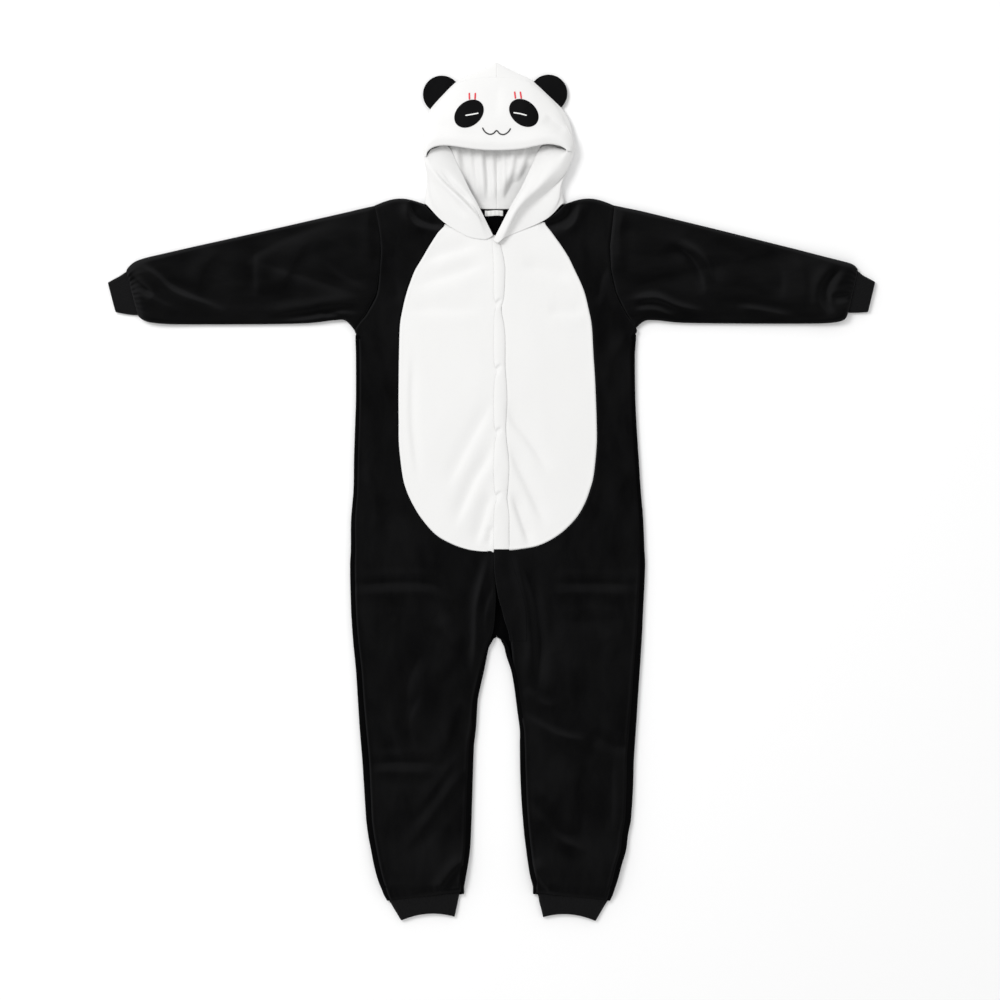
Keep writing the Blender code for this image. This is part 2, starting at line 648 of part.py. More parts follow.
def stitched(name, line, width, lift, face, finish, collection):
    """A raised line of embroidery along a plan polyline, on the face panel's own surface moved out by lift."""
    line = np.array(line, float)
    side = inset(line, 1.0) - line
    x, y = (line[:, None, k] + side[:, None, k] * np.array([-0.5, 0.5]) * width for k in (0, 1))
    under = np.dstack([x, y, height_on(face, x, y) + lift])
    over = under + (0.0, 0.0, THREAD)
    shell(name, laid(over, 1.0, hood_lean), laid(under, 1.0, hood_lean), finish, collection)


def eye_outline(points):
    """Plan points of a +X eye patch from points of the unit disc."""
    tilt = math.radians(EYE_TILT)
    u, v = points[..., 0] * EYE_HALF[0], points[..., 1] * EYE_HALF[1]
    x = EYE_CENTRE[0] + u * math.cos(tilt) + v * math.sin(tilt)
    return x, EYE_CENTRE[1] - u * math.sin(tilt) + v * math.cos(tilt)


def lash_foot(x):
    """Where a lash at x meets the top of its eye patch."""
    turn = np.linspace(0.0, 2.0 * math.pi, 721)
    ex, ey = eye_outline(np.column_stack([np.cos(turn), np.sin(turn)]))
    return float(ey[(np.abs(ex - x) < LASH_WIDTH) & (ey > EYE_CENTRE[1])].max()) + 0.5


def add_eyes(grid, collection):
    """The eye patches, made from the face panel's own surface, moved out, with their stitched lines and lashes."""
    face = surface_of(grid)
    for side, word in ((1.0, "r"), (-1.0, "l")):
        x, y = eye_outline(disc(4))
        x = side * x
        under = np.dstack([x, y, height_on(face, x, y) + 1.0])
        over = under + (0.0, 0.0, PATCH_WALL)
        shell(f"eye_patch_{word}", laid(over, 1.0, hood_lean), laid(under, 1.0, hood_lean), "patch_black", collection)
        line = [(side * px, py) for px, py in EYE_LINE]
        stitched(f"eye_line_{word}", line, LINE_WIDTH, 2.8, face, "white_thread", collection)
        for place, (tip_x, tip_y, foot_x) in zip(("inner", "outer"), LASHES):
            foot = (side * foot_x, lash_foot(foot_x))
            stitched(
                f"lash_{place}_{word}", [(side * tip_x, tip_y), foot], LASH_WIDTH, 1.0, face, "red_thread", collection
            )
    stitched("mouth", MOUTH, LINE_WIDTH, 1.0, face, "black_thread", collection)


def add_ears(collection):
    """The ears: lightly filled rounds, cut off straight where they are sewn into the face panel's seam."""
    low, high = np.array(EAR_SEAM)
    chord = high - low
    way = chord / np.linalg.norm(chord)
    outward = np.array([-way[1], way[0]])
    if outward @ (np.array(EAR_CENTRE) - low) < 0:
        outward = -outward
    for side, word in ((1.0, "r"), (-1.0, "l")):
        centre = np.array(EAR_CENTRE)
        depth = (centre - low) @ outward
        half = math.sqrt(EAR_RADIUS**2 - depth**2)
        foot = centre - outward * depth
        spread = math.pi - math.acos(depth / EAR_RADIUS)
        rows = []
        for reach in np.linspace(0.0, 1.0, 5):
            line = []
            for t in np.linspace(-1.0, 1.0, 11):
                base = foot + way * half * t + outward * 2.6
                rim = centre + EAR_RADIUS * (way * math.sin(t * spread) + outward * math.cos(t * spread))
                line.append(base + (rim - base) * reach)
            rows.append(line)
        plan = np.array(rows)
        from_edge = np.clip(1.0 - np.linalg.norm(plan - centre, axis=-1) / EAR_RADIUS, 0.0, 1.0)
        away = (plan - foot) @ outward
        middle = 9.0 - 3.0 * away / (EAR_RADIUS + depth)
        full = 1.0 + (EAR_FULLNESS / 2 - 1.0) * np.sqrt(from_edge) * smooth(away, -12.0, 20.0)
        over, under = np.dstack([plan, middle + full]), np.dstack([plan, middle - full])
        shell(f"ear_{word}", laid(over, side), laid(under, side), "black_fleece", collection)


def add_label(collection):
    width, depth, thick = LABEL
    x = np.linspace(-width / 2, width / 2, 3)
    y = np.linspace(BACK_NECK_Y - 8.0, BACK_NECK_Y - 8.0 - depth, 3)
    z = WALL + 0.4
    over = np.array([[(a, b, z + thick) for a in x] for b in y])
    under = over - (0.0, 0.0, thick)
    shell("neck_label", laid(over, 1.0), laid(under, 1.0), "label_satin", collection)


def main():
    clear_scene()
    collection = bpy.data.collections.new("panda_onesie")
    bpy.context.scene.collection.children.link(collection)
    add_body(collection)
    add_belly(collection)
    add_fly(collection)
    add_sleeves(collection)
    add_ankle_cuffs(collection)
    hood = hood_grid()
    grid = face_grid(hood)
    normal = hood_normals(hood, grid)
    add_hood(hood, normal, collection)
    add_face(grid, normal, collection)
    add_eyes(grid, collection)
    add_ears(collection)
    add_label(collection)


main()
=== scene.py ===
import math

import bpy
import numpy as np
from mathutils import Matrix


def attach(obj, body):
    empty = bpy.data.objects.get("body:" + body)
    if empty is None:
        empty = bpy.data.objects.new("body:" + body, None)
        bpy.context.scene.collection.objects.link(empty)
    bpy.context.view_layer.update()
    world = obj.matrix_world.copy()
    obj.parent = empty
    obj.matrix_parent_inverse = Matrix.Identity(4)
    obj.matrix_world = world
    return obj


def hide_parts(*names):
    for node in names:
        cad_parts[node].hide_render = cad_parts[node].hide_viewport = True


# A panda onesie in fleece, laid out flat on its back with its front up. Shapes are worked out in
# millimetres and put into the meshes in metres: x runs across the garment, y from the ankles up to the
# hood, and z up from the table. "Left" and "right" are as seen from above.

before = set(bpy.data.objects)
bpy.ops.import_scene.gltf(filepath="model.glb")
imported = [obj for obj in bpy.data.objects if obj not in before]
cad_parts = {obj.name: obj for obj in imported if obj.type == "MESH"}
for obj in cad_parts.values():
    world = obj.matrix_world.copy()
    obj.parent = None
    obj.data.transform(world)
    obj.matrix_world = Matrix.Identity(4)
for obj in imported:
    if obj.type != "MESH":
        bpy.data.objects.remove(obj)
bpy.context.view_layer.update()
print("frame loaded:", len(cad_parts), "pieces to dress")

mm = 0.001
viewHeight = 4840.0


# Numbers into curves and surfaces

def ease(x, low, high):
    # 0 below low, 1 above high, an S-curve between
    t = np.clip((np.asarray(x, float) - low) / (high - low), 0.0, 1.0)
    return t * t * (3.0 - 2.0 * t)


def unit(v):
    return v / np.maximum(np.linalg.norm(v, axis=-1, keepdims=True), 1e-9)


def curveThrough(points, at):
    # The smooth curve through the points, read at row numbers: cubic pieces whose slopes are the
    # neighbours' means
    points, at = np.asarray(points, float), np.asarray(at, float)
    slope = np.gradient(points, axis=0)
    i = np.clip(np.floor(at).astype(int), 0, len(points) - 2)
    t = (at - i).reshape((-1,) + (1,) * (points.ndim - 1))
    return ((2 * t**3 - 3 * t**2 + 1) * points[i] + (t**3 - 2 * t**2 + t) * slope[i]
            + (3 * t**2 - 2 * t**3) * points[i + 1] + (t**3 - t**2) * slope[i + 1])


def rowsEvery(points, step):
    # Row numbers that stand about step apart along the smooth curve through the points
    dense = np.linspace(0, len(points) - 1, 40 * (len(points) - 1) + 1)
    run = np.r_[0, np.cumsum(np.linalg.norm(np.diff(curveThrough(points, dense), axis=0), axis=1))]
    return np.interp(np.linspace(0, run[-1], int(run[-1] / step) + 1), run, dense)


def columnsFor(width, step):
    # Shares 0 to 1 across a width, close together beside both edges, where the seams dip
    near = np.array([0.0, 0.9, 1.8, 2.8, 4.0, 5.6]) / width
    return np.r_[near, np.linspace(7.6 / width, 1 - 7.6 / width, int(width / step)), 1 - near[::-1]]


foldShape = {  # a fold's cross-section, in shares of its half width
    "steep": 0.85,  # reach of the side on the path's left
    "gentle": 1.9,  # reach of the side on its right
    "swell": 0.22,  # height of the opposite swell, as a share of the fold's
    "swellAt": 2.1,
    "swellReach": 1.2,
}


def foldSum(x, y, folds):
    # Height of all the folds at x, y. A fold is a ridge (or a trough, if its height is negative): a bell
    # curve of the distance from a path, steep on the path's left-hand side, with a small swell of the other
    # sign beyond it, and gentle on its right-hand side. It fades at both of its ends.
    total = np.zeros(np.broadcast(x, y).shape)
    x, y = np.broadcast_to(x, total.shape), np.broadcast_to(y, total.shape)
    for height, width, path in folds:
        line = curveThrough(path, np.linspace(0, len(path) - 1, 7 * (len(path) - 1) + 1))
        reach = 4.0 * width
        near = ((x > line[:, 0].min() - reach) & (x < line[:, 0].max() + reach)
                & (y > line[:, 1].min() - reach) & (y < line[:, 1].max() + reach))
        if not near.any():
            continue
        px, py = x[near], y[near]
        run = np.r_[0, np.cumsum(np.linalg.norm(np.diff(line, axis=0), axis=1))]
        best, side, along = np.full(px.shape, 1e9), np.zeros(px.shape), np.zeros(px.shape)
        for k in range(len(line) - 1):
            a, d = line[k], line[k + 1] - line[k]
            size = math.hypot(*d)
            s = ((px - a[0]) * d[0] + (py - a[1]) * d[1]) / size**2
            c = np.clip(s, 0, 1)
            gap = np.hypot(px - a[0] - c * d[0], py - a[1] - c * d[1])
            closer = gap < best
            best = np.where(closer, gap, best)
            side = np.where(closer, np.sign(d[0] * (py - a[1]) - d[1] * (px - a[0])), side)
            along = np.where(closer, run[k] + c * size, along)
        away = best * side
        fade = ease(along, -0.05 * run[-1], 0.3 * run[-1]) * (1 - ease(along, 0.7 * run[-1], 1.05 * run[-1]))
        wide = np.where(away > 0, foldShape["steep"], foldShape["gentle"]) * width
        beyond = (away - foldShape["swellAt"] * width) / (foldShape["swellReach"] * width)
        bell = np.exp(-(away / wide) ** 2) - foldShape["swell"] * np.exp(-beyond**2)
        total[near] += height * fade * bell
    return total


def facing(grid, up=None):
    # Unit normals of a grid: the cross product of its two directions, turned to the side of up where it is
    # given
    n = unit(np.cross(np.gradient(grid, axis=1), np.gradient(grid, axis=0)))
    if up is not None:
        n = np.where((n @ np.asarray(up, float))[..., None] < 0, -n, n)
    return n


def facingOut(rings):
    # Unit normals of a tube's rings, turned away from its middle
    n = facing(rings)
    return n if ((rings - rings.mean(1, keepdims=True)) * n).sum() > 0 else -n


def turnEdges(grid, out, edges, deep=1.9, tuck=5.0):
    # Carries edges of a sheet round and under itself: a small round bulge, then a turning against the wrong
    # side
    for edge in edges:
        axis, end = (0 if edge in ("first", "last") else 1), (0 if edge in ("first", "near") else -1)
        line, following = np.take(grid, end, axis), np.take(grid, 1 if end == 0 else -2, axis)
        n, back = np.take(out, end, axis), unit(following - line)
        extra = [line - n * deep * 0.3 - back * 0.35, line - n * deep * 0.75 - back * 0.25,
                 line - n * deep + back * 0.5, line - n * deep + back * tuck]
        faces = [unit(n * 0.7 - back * 0.7), unit(-n * 0.3 - back), -n, -n]
        if end == 0:
            extra, faces = extra[::-1], faces[::-1]
        extra, faces = np.stack(extra, axis), np.stack(faces, axis)
        parts, normals = ([extra, grid], [faces, out]) if end == 0 else ([grid, extra], [out, faces])
        grid, out = np.concatenate(parts, axis), np.concatenate(normals, axis)
    return grid, out


def clothUv(grid, ring):
    # Distance across and along the cloth in metres, from the mean spacing of the grid's columns and rows
    wide = np.concatenate([grid, grid[:, :1]], 1) if ring else grid
    u = np.r_[0, np.cumsum(np.linalg.norm(np.diff(wide, axis=1), axis=2).mean(0))]
    v = np.r_[0, np.cumsum(np.linalg.norm(np.diff(grid, axis=0), axis=2).mean(1))]
    return np.dstack(np.meshgrid(u, v)) * mm


def quadsOf(rows, columns, ring=False):
    r, c = np.meshgrid(np.arange(rows - 1), np.arange(columns if ring else columns - 1), indexing="ij")
    d = (c + 1) % columns
    corners = [r * columns + c, r * columns + d, (r + 1) * columns + d, (r + 1) * columns + c]
    return np.stack(corners, -1).reshape(-1, 4)


def dress(name, points, quads, uv, finish, nodes):
    # One finished piece: its mesh, in place, riding the body and standing for its pattern pieces. Outlines
    # are given as they look from the camera on the table's plane, so a point above it is drawn in by its
    # height's share of the camera's.
    points = points.copy()
    points[:, :2] *= 1 - points[:, 2:] / viewHeight
    mesh = bpy.data.meshes.new(name)
    mesh.vertices.add(len(points))
    mesh.vertices.foreach_set("co", (points * mm).astype(np.float32).ravel())
    mesh.loops.add(quads.size)
    mesh.loops.foreach_set("vertex_index", quads.astype(np.int32).ravel())
    mesh.polygons.add(len(quads))
    mesh.polygons.foreach_set("loop_start", np.arange(0, quads.size, 4, dtype=np.int32))
    mesh.update(calc_edges=True)
    layer = mesh.uv_layers.new(name="cloth")
    layer.data.foreach_set("uv", uv.astype(np.float32).ravel())
    mesh.polygons.foreach_set("use_smooth", np.ones(len(quads), bool))
    mesh.validate()
    mesh.materials.append(finish)
    piece = bpy.data.objects.new(name, mesh)
    bpy.context.scene.collection.objects.link(piece)
    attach(piece, "root")
    if nodes:
        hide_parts(*nodes)
    return piece


def areaOf(grid, ring=False):
    if ring:
        grid = np.concatenate([grid, grid[:, :1]], 1)
    a, b = grid[1:, 1:] - grid[:-1, :-1], grid[1:, :-1] - grid[:-1, 1:]
    return float(np.linalg.norm(np.cross(a, b), axis=2).sum() / 2) * mm * mm


def facedQuads(grid, out, ring):
    # A grid's quads, wound to face the way that out points, and their places on the cloth
    quads = quadsOf(*grid.shape[:2], ring)
    uv = clothUv(grid, ring)
    corner = quadsOf(*uv.shape[:2])
    p = grid.reshape(-1, 3)
    faceNormal = np.cross(p[quads[:, 2]] - p[quads[:, 0]], p[quads[:, 3]] - p[quads[:, 1]])
    if (faceNormal * out.reshape(-1, 3)[quads[:, 0]]).sum() < 0:
        quads, corner = quads[:, ::-1], corner[:, ::-1]
    return quads, corner, uv


def skin(name, grid, out, finish, nodes, ring=False):
    # A sheet seen from its right side, one skin with its edges already turned in
    quads, corner, uv = facedQuads(grid, out, ring)
    return dress(name, grid.reshape(-1, 3), quads, uv.reshape(-1, 2)[corner], finish, nodes)


def wall(name, grid, out, thick, finish, nodes, ring=False):
    # A sheet with both its sides: the right side, the wrong side a thickness below, and rounded raw edges
    rows, columns = grid.shape[:2]
    count = rows * columns
    p = np.concatenate([grid.reshape(-1, 3), (grid - out * thick).reshape(-1, 3)])
    right, corner, uv = facedQuads(grid, out, ring)
    quads = [right, right[:, ::-1] + count]
    uvs = [uv.reshape(-1, 2)[corner], uv.reshape(-1, 2)[corner[:, ::-1]]]
    index = np.arange(count).reshape(rows, columns)
    if ring:
        loops = [(index[0], index[1]), (index[-1], index[-2])]
    else:
        loops = [(np.r_[index[0], index[1:, -1], index[-1, -2::-1], index[-2:0:-1, 0]],
                  np.r_[index[1], index[1:, -2], index[-2, -2::-1], index[-2:0:-1, 1]])]
    extra = []
    for edge, inside in loops:
        bulge = (p[edge] + p[edge + count]) / 2 - unit(p[inside] - p[edge]) * thick * 0.32
        base = len(p) + sum(len(e) for e in extra)
        middle = base + np.arange(len(edge))
        extra.append(bulge)
        for a, b in ((edge, middle), (middle, edge + count)):
            strip = np.stack([a, np.roll(a, -1), np.roll(b, -1), b], -1)
            both = np.concatenate([p] + extra)
            towards = both[strip].mean(1) - (p[inside] + p[inside + count]) / 2
            n = np.cross(both[strip[:, 2]] - both[strip[:, 0]], both[strip[:, 3]] - both[strip[:, 1]])
            if (n * towards).sum() < 0:
                strip = strip[:, ::-1]
            quads.append(strip)
            flat = uv[:rows, :columns].reshape(-1, 2)
            source = np.where(strip < 2 * count, strip - count, edge[0])
            uvs.append(flat[np.where(strip < count, strip, source)])
    p = np.concatenate([p] + extra)
    return dress(name, p, np.concatenate(quads), np.concatenate(uvs), finish, nodes)


# Cloths and threads

def newGroup(name, inputs, outputs):
    group = bpy.data.node_groups.new(name, "ShaderNodeTree")
    for label, kind, value in inputs:
        socket = group.interface.new_socket(label, in_out="INPUT", socket_type="NodeSocket" + kind)
        if value is not None:
            socket.default_value = value
    for label, kind in outputs:
        group.interface.new_socket(label, in_out="OUTPUT", socket_type="NodeSocket" + kind)
    return group, group.nodes.new("NodeGroupInput"), group.nodes.new("NodeGroupOutput")


def mathNode(tree, operation, a, b=None, clamp=False):
    node = tree.nodes.new("ShaderNodeMath")
    node.operation, node.use_clamp = operation, clamp
    for socket, value in zip(node.inputs, (a, b)):
        if value is None:
            continue
        if isinstance(value, (int, float)):
            socket.default_value = value
        else:
            tree.links.new(value, socket)
    return node.outputs[0]


def noiseNode(tree, vector, scale, detail=2.0, rough=0.5, distortion=0.0):
    node = tree.nodes.new("ShaderNodeTexNoise")
    tree.links.new(vector, node.inputs["Vector"])
    if isinstance(scale, (int, float)):
        node.inputs["Scale"].default_value = scale
    else:
        tree.links.new(scale, node.inputs["Scale"])
    node.inputs["Detail"].default_value = detail
    node.inputs["Roughness"].default_value = rough
    node.inputs["Distortion"].default_value = distortion
    return node.outputs["Fac"]


def rangeNode(tree, value, low, high):
    # 0 at low, 1 at high, held outside them
    node = tree.nodes.new("ShaderNodeMapRange")
    node.inputs["From Min"].default_value, node.inputs["From Max"].default_value = low, high
    tree.links.new(value, node.inputs["Value"])
    return node.outputs["Result"]


def makeBrushedNap():
    # Brushed pile: short fibres, clumps of them a few millimetres wide, and wider patches where the pile
    # lies over
    inputs = [("Vector", "Vector", None), ("Fibres per metre", "Float", 1500.0),
              ("Clumps per metre", "Float", 330.0), ("Patches per metre", "Float", 24.0),
              ("Brushed", "Vector", (1.0, 0.45, 1.0))]
    outputs = [("Height", "Float"), ("Lie", "Float"), ("Fleck", "Float")]
    group, src, out = newGroup("brushedNap", inputs, outputs)
    vector = src.outputs["Vector"]
    stretch = group.nodes.new("ShaderNodeVectorMath")
    stretch.operation = "MULTIPLY"
    group.links.new(vector, stretch.inputs[0])
    group.links.new(src.outputs["Brushed"], stretch.inputs[1])
    fibre = noiseNode(group, vector, src.outputs["Fibres per metre"], 3.0, 0.65)
    clump = noiseNode(group, vector, src.outputs["Clumps per metre"], 2.0, 0.55, 0.6)
    patch = noiseNode(group, stretch.outputs[0], src.outputs["Patches per metre"], 3.0, 0.5, 0.25)
    short, broad = mathNode(group, "MULTIPLY", fibre, 0.45), mathNode(group, "MULTIPLY", clump, 0.55)
    height = mathNode(group, "ADD", short, broad)
    group.links.new(height, out.inputs["Height"])
    group.links.new(rangeNode(group, patch, 0.28, 0.72), out.inputs["Lie"])
    fleck = mathNode(group, "MULTIPLY", mathNode(group, "ADD", fibre, clump), 0.5)
    group.links.new(fleck, out.inputs["Fleck"])
    return group


def makeKnitRows():
    # Rows of knit loops or stitches along a surface's own directions: V-shaped loops down each rib
    inputs = [("Across", "Float", 0.0), ("Along", "Float", 0.0), ("Wales per metre", "Float", 700.0),
              ("Courses per metre", "Float", 900.0)]
    group, src, out = newGroup("knitRows", inputs, [("Height", "Float")])
    turn = 2 * math.pi
    across = mathNode(group, "MULTIPLY", src.outputs["Across"], src.outputs["Wales per metre"])
    wale = mathNode(group, "MULTIPLY", across, turn)
    half = mathNode(group, "SINE", mathNode(group, "MULTIPLY", wale, 0.5))
    slant = mathNode(group, "MULTIPLY", mathNode(group, "ABSOLUTE", half), 0.5)
    along = mathNode(group, "MULTIPLY", src.outputs["Along"], src.outputs["Courses per metre"])
    course = mathNode(group, "ADD", along, slant)
    loops = mathNode(group, "SINE", mathNode(group, "MULTIPLY", course, turn))
    both = mathNode(group, "ADD", mathNode(group, "MULTIPLY", mathNode(group, "COSINE", wale), 0.3),
                    mathNode(group, "MULTIPLY", loops, 0.35))
    group.links.new(mathNode(group, "ADD", both, 0.5), out.inputs["Height"])
    return group


brushedNap, knitRows = makeBrushedNap(), makeKnitRows()


def startMaterial(name, roughness, sheen, sheenRoughness, sheenTint=(1, 1, 1, 1)):
    made = bpy.data.materials.new(name)
    made.use_nodes = True
    tree = made.node_tree
    shader = tree.nodes["Principled BSDF"]
    shader.inputs["Roughness"].default_value = roughness
    shader.inputs["Specular IOR Level"].default_value = 0.25
    shader.inputs["Sheen Weight"].default_value = sheen
    shader.inputs["Sheen Roughness"].default_value = sheenRoughness
    shader.inputs["Sheen Tint"].default_value = sheenTint
    return made, tree, shader


def useGroup(tree, group, **values):
    node = tree.nodes.new("ShaderNodeGroup")
    node.node_tree = group
    for label, value in values.items():
        node.inputs[label.replace("_", " ")].default_value = value
    return node


def mixColour(tree, factor, dark, light):
    node = tree.nodes.new("ShaderNodeMix")
    node.data_type = "RGBA"
    tree.links.new(factor, node.inputs["Factor"])
    for socket, value in ((node.inputs["A"], dark), (node.inputs["B"], light)):
        if isinstance(value, tuple):
            socket.default_value = (*value, 1.0)
        else:
            tree.links.new(value, socket)
    return node.outputs["Result"]


def addBump(tree, shader, height, strength, distance):
    bump = tree.nodes.new("ShaderNodeBump")
    bump.inputs["Strength"].default_value, bump.inputs["Distance"].default_value = strength, distance
    tree.links.new(height, bump.inputs["Height"])
    tree.links.new(bump.outputs["Normal"], shader.inputs["Normal"])


def makePaintedLightLean():
    # Painted light and shade for the cloth's folds: 0.5 on the flat, more where the cloth faces up and to the
    # left, towards the key light, less where it faces away, from the object's own surface direction
    inputs = [("Direction", "Vector", None), ("Steepness", "Float", 1.4)]
    group, src, out = newGroup("paintedLightLean", inputs, [("Lean", "Float")])
    dot = group.nodes.new("ShaderNodeVectorMath")
    dot.operation = "DOT_PRODUCT"
    group.links.new(src.outputs["Direction"], dot.inputs[0])
    # the way to the key light in plan, up and to the left
    dot.inputs[1].default_value = (-0.5, 0.86, 0.0)
    scaled = mathNode(group, "MULTIPLY", dot.outputs["Value"], src.outputs["Steepness"])
    group.links.new(mathNode(group, "ADD", scaled, 0.5, clamp=True), out.inputs["Lean"])
    return group


paintedLightLean = makePaintedLightLean()


def fleece(name, deep, raised, sheen, pile, paintedHighlight=None, brushed=(1.0, 0.45, 1.0)):
    # Two tones of one colour, mixed where the pile lies over and between its flecks, on a pile that stands
    # up. With a painted highlight tone, the colour also carries painted light: slopes turned from the camera
    # are lighter as painted sheen, folds that face the key light, up and to the left, are lighter as a
    # painted highlight, and those that face away are darker as painted shade.
    made, tree, shader = startMaterial(name, 0.95, sheen, 0.4)
    shader.inputs["Specular IOR Level"].default_value = 0.03
    coords = tree.nodes.new("ShaderNodeTexCoord")
    nap = useGroup(tree, brushedNap, Brushed=brushed)
    tree.links.new(coords.outputs["Object"], nap.inputs["Vector"])
    tone = mathNode(tree, "ADD", mathNode(tree, "MULTIPLY", nap.outputs["Lie"], 0.6),
                    mathNode(tree, "MULTIPLY", nap.outputs["Fleck"], 0.5), clamp=True)
    colour = mixColour(tree, tone, deep, raised)
    if paintedHighlight:
        paintedLightNode = useGroup(tree, paintedLightLean)
        tree.links.new(coords.outputs["Normal"], paintedLightNode.inputs["Direction"])
        slope = tree.nodes.new("ShaderNodeLayerWeight")
        slope.inputs["Blend"].default_value = 0.5
        # painted sheen: lighter the more the surface turns from the camera
        edge = rangeNode(tree, slope.outputs["Facing"], 0.05, 0.9)
        # painted highlight on slopes that face the key light, painted shade on slopes that face away
        towards = rangeNode(tree, paintedLightNode.outputs["Lean"], 0.5, 1.7)
        away = rangeNode(tree, paintedLightNode.outputs["Lean"], 0.5, -0.8)
        colour = mixColour(tree, edge, colour, paintedHighlight)
        colour = mixColour(tree, towards, colour, paintedHighlight)
        colour = mixColour(tree, away, colour, tuple(v * 0.4 for v in deep))
    tree.links.new(colour, shader.inputs["Base Color"])
    addBump(tree, shader, nap.outputs["Height"], 0.55, pile)
    return made


ribLook = {"roughness": 0.9, "gloss": 0.06, "sheen": 0.02, "sheenRoughness": 0.5,
           "bump": 0.6, "depth": 0.0004}
satinLook = {"roughness": 0.42, "gloss": 0.5, "sheen": 0.2, "sheenRoughness": 0.3,
             "bump": 0.5, "depth": 0.0003}
satinRows = {"Wales_per_metre": 120.0, "Courses_per_metre": 2300.0}
labelRows = {"Wales_per_metre": 120.0, "Courses_per_metre": 1400.0}


def stitched(name, look, deep, raised, **rows):
    # Rib knit or satin stitch, along the piece's own map: two tones of one colour, the lighter on the loops
    made, tree, shader = startMaterial(name, look["roughness"], look["sheen"], look["sheenRoughness"])
    shader.inputs["Specular IOR Level"].default_value = look["gloss"]
    uv = tree.nodes.new("ShaderNodeUVMap")
    uv.uv_map = "cloth"
    split = tree.nodes.new("ShaderNodeSeparateXYZ")
    tree.links.new(uv.outputs["UV"], split.inputs[0])
    loops = useGroup(tree, knitRows, **rows)
    tree.links.new(split.outputs["X"], loops.inputs["Across"])
    tree.links.new(split.outputs["Y"], loops.inputs["Along"])
    tree.links.new(mixColour(tree, loops.outputs["Height"], deep, raised), shader.inputs["Base Color"])
    addBump(tree, shader, loops.outputs["Height"], look["bump"], look["depth"])
    return made


# painted highlight tone of the black fleece, for its painted sheen on slopes and its folds facing the key
# light
blackPaintedHighlight = (0.0160, 0.0160, 0.0167)
blackFleece = fleece("blackFleece", (0.0010, 0.0010, 0.0011), (0.0054, 0.0054, 0.0056), 0.022, 0.0007,
                     blackPaintedHighlight)
sleeveFleece = fleece("sleeveFleece", (0.0011, 0.0011, 0.0012), (0.0056, 0.0056, 0.0058), 0.024, 0.0007,
                      blackPaintedHighlight, brushed=(0.40, 1.0, 1.0))
# a darker copy of the black fleece for the back panels: painted shade on the strips that turn round the side
# edges onto the front
paintedShadeBackFleece = fleece("paintedShadeBackFleece", (0.0005, 0.0005, 0.0006), (0.0022, 0.0022, 0.0024), 0.008, 0.0007)
patchFleece = fleece("patchFleece", (0.0030, 0.0030, 0.0032), (0.0065, 0.0065, 0.0068), 0.02, 0.0005)
whiteFleece = fleece("whiteFleece", (0.732, 0.730, 0.723), (0.748, 0.746, 0.739), 0.06, 0.0006)
blackRib = stitched("blackRib", ribLook, (0.0020, 0.0020, 0.0022), (0.0110, 0.0110, 0.0115))
whiteThread = stitched("whiteThread", satinLook, (0.72, 0.72, 0.70), (0.92, 0.92, 0.90), **satinRows)
blackThread = stitched("blackThread", satinLook, (0.0040, 0.0040, 0.0040), (0.012, 0.012, 0.012), **satinRows)
redThread = stitched("redThread", satinLook, (0.60, 0.022, 0.036), (0.80, 0.050, 0.070), **satinRows)
labelSatin = stitched("labelSatin", satinLook, (0.66, 0.66, 0.64), (0.84, 0.84, 0.82), **labelRows)
print("cloths made")


# The body: its outline, and the height of its front

body = {
    "loft": 13.0,  # height of the side seams above the table
    "foldDepth": 0.8,  # share of the listed heights that the black cloth's folds have
    "crown": 2.6,  # how much higher the middle of the torso and of each leg stands
    "shoulderBow": 13.0,  # how far the shoulder seams bow up
    "step": 3.3,  # spacing of the surface's rows and columns
    "centreSeam": 9.5,  # x of the back's centre seam
    "shoulder": 587.0,  # y of the shoulders' outer ends
    "torsoHalf": 280.0,  # half width over which the torso crowns
    "legMiddle": 163.0,  # how far each leg's middle is from the centre seam
    "legHalf": 108.0,
    "anklePuff": 5.5,  # how much higher the seams stand just above the ankle cuffs
    "ankleShut": 2.4,  # how much lower the seams are where they meet the cuffs
    "unevenness": 0.35,  # height of the slow waves in the front
}

sideTable = np.array([  # the outer edge: y, left x, right x, how far the back comes round onto the front
    (587, -241, 251, 0), (545, -232.5, 246.5, 0), (500, -228, 241.5, 0), (451, -230.5, 244, 0),
    (404, -236.4, 255, 0), (363, -258, 276, 0), (334, -280, 296, 0), (318, -280, 295.5, 6),
    (281, -279, 293, 7), (189, -279, 294, 7), (127, -281, 297, 7), (66, -283, 301, 7), (4, -284, 305, 7),
    (-57, -289, 310, 7.5), (-119, -289.5, 312.5, 8.5), (-150, -291, 314, 9), (-242, -289, 310, 9),
    (-303, -285, 307, 9.5), (-365, -279, 303, 10.5), (-426, -275, 299, 11), (-488, -271, 295, 12.5),
    (-549, -266, 291, 13), (-611, -262, 289, 12), (-672, -258, 285, 11), (-703, -254, 279, 11),
    (-734, -248, 275, 10.5), (-765, -242, 266, 10.5), (-795, -234, 258, 10), (-826, -222, 248, 8),
    (-838, -215, 242, 6),
], float)
inseamTable = np.array([  # the legs' inner edges: y, left x, right x, how far the back comes round
    (-300, 4, 16, 3), (-318, -6, 25, 5), (-334, -10, 29, 5), (-365, -16, 39, 5), (-396, -23, 45, 5),
    (-426, -29, 49, 5), (-457, -31, 53, 6), (-488, -33, 57, 7.5), (-519, -37, 57, 9), (-580, -39, 58, 10),
    (-642, -41, 61, 10), (-703, -43, 66, 10), (-734, -45, 70, 9.5), (-765, -49, 74, 9), (-795, -53, 78, 8.5),
    (-822, -57, 84, 6),
], float)

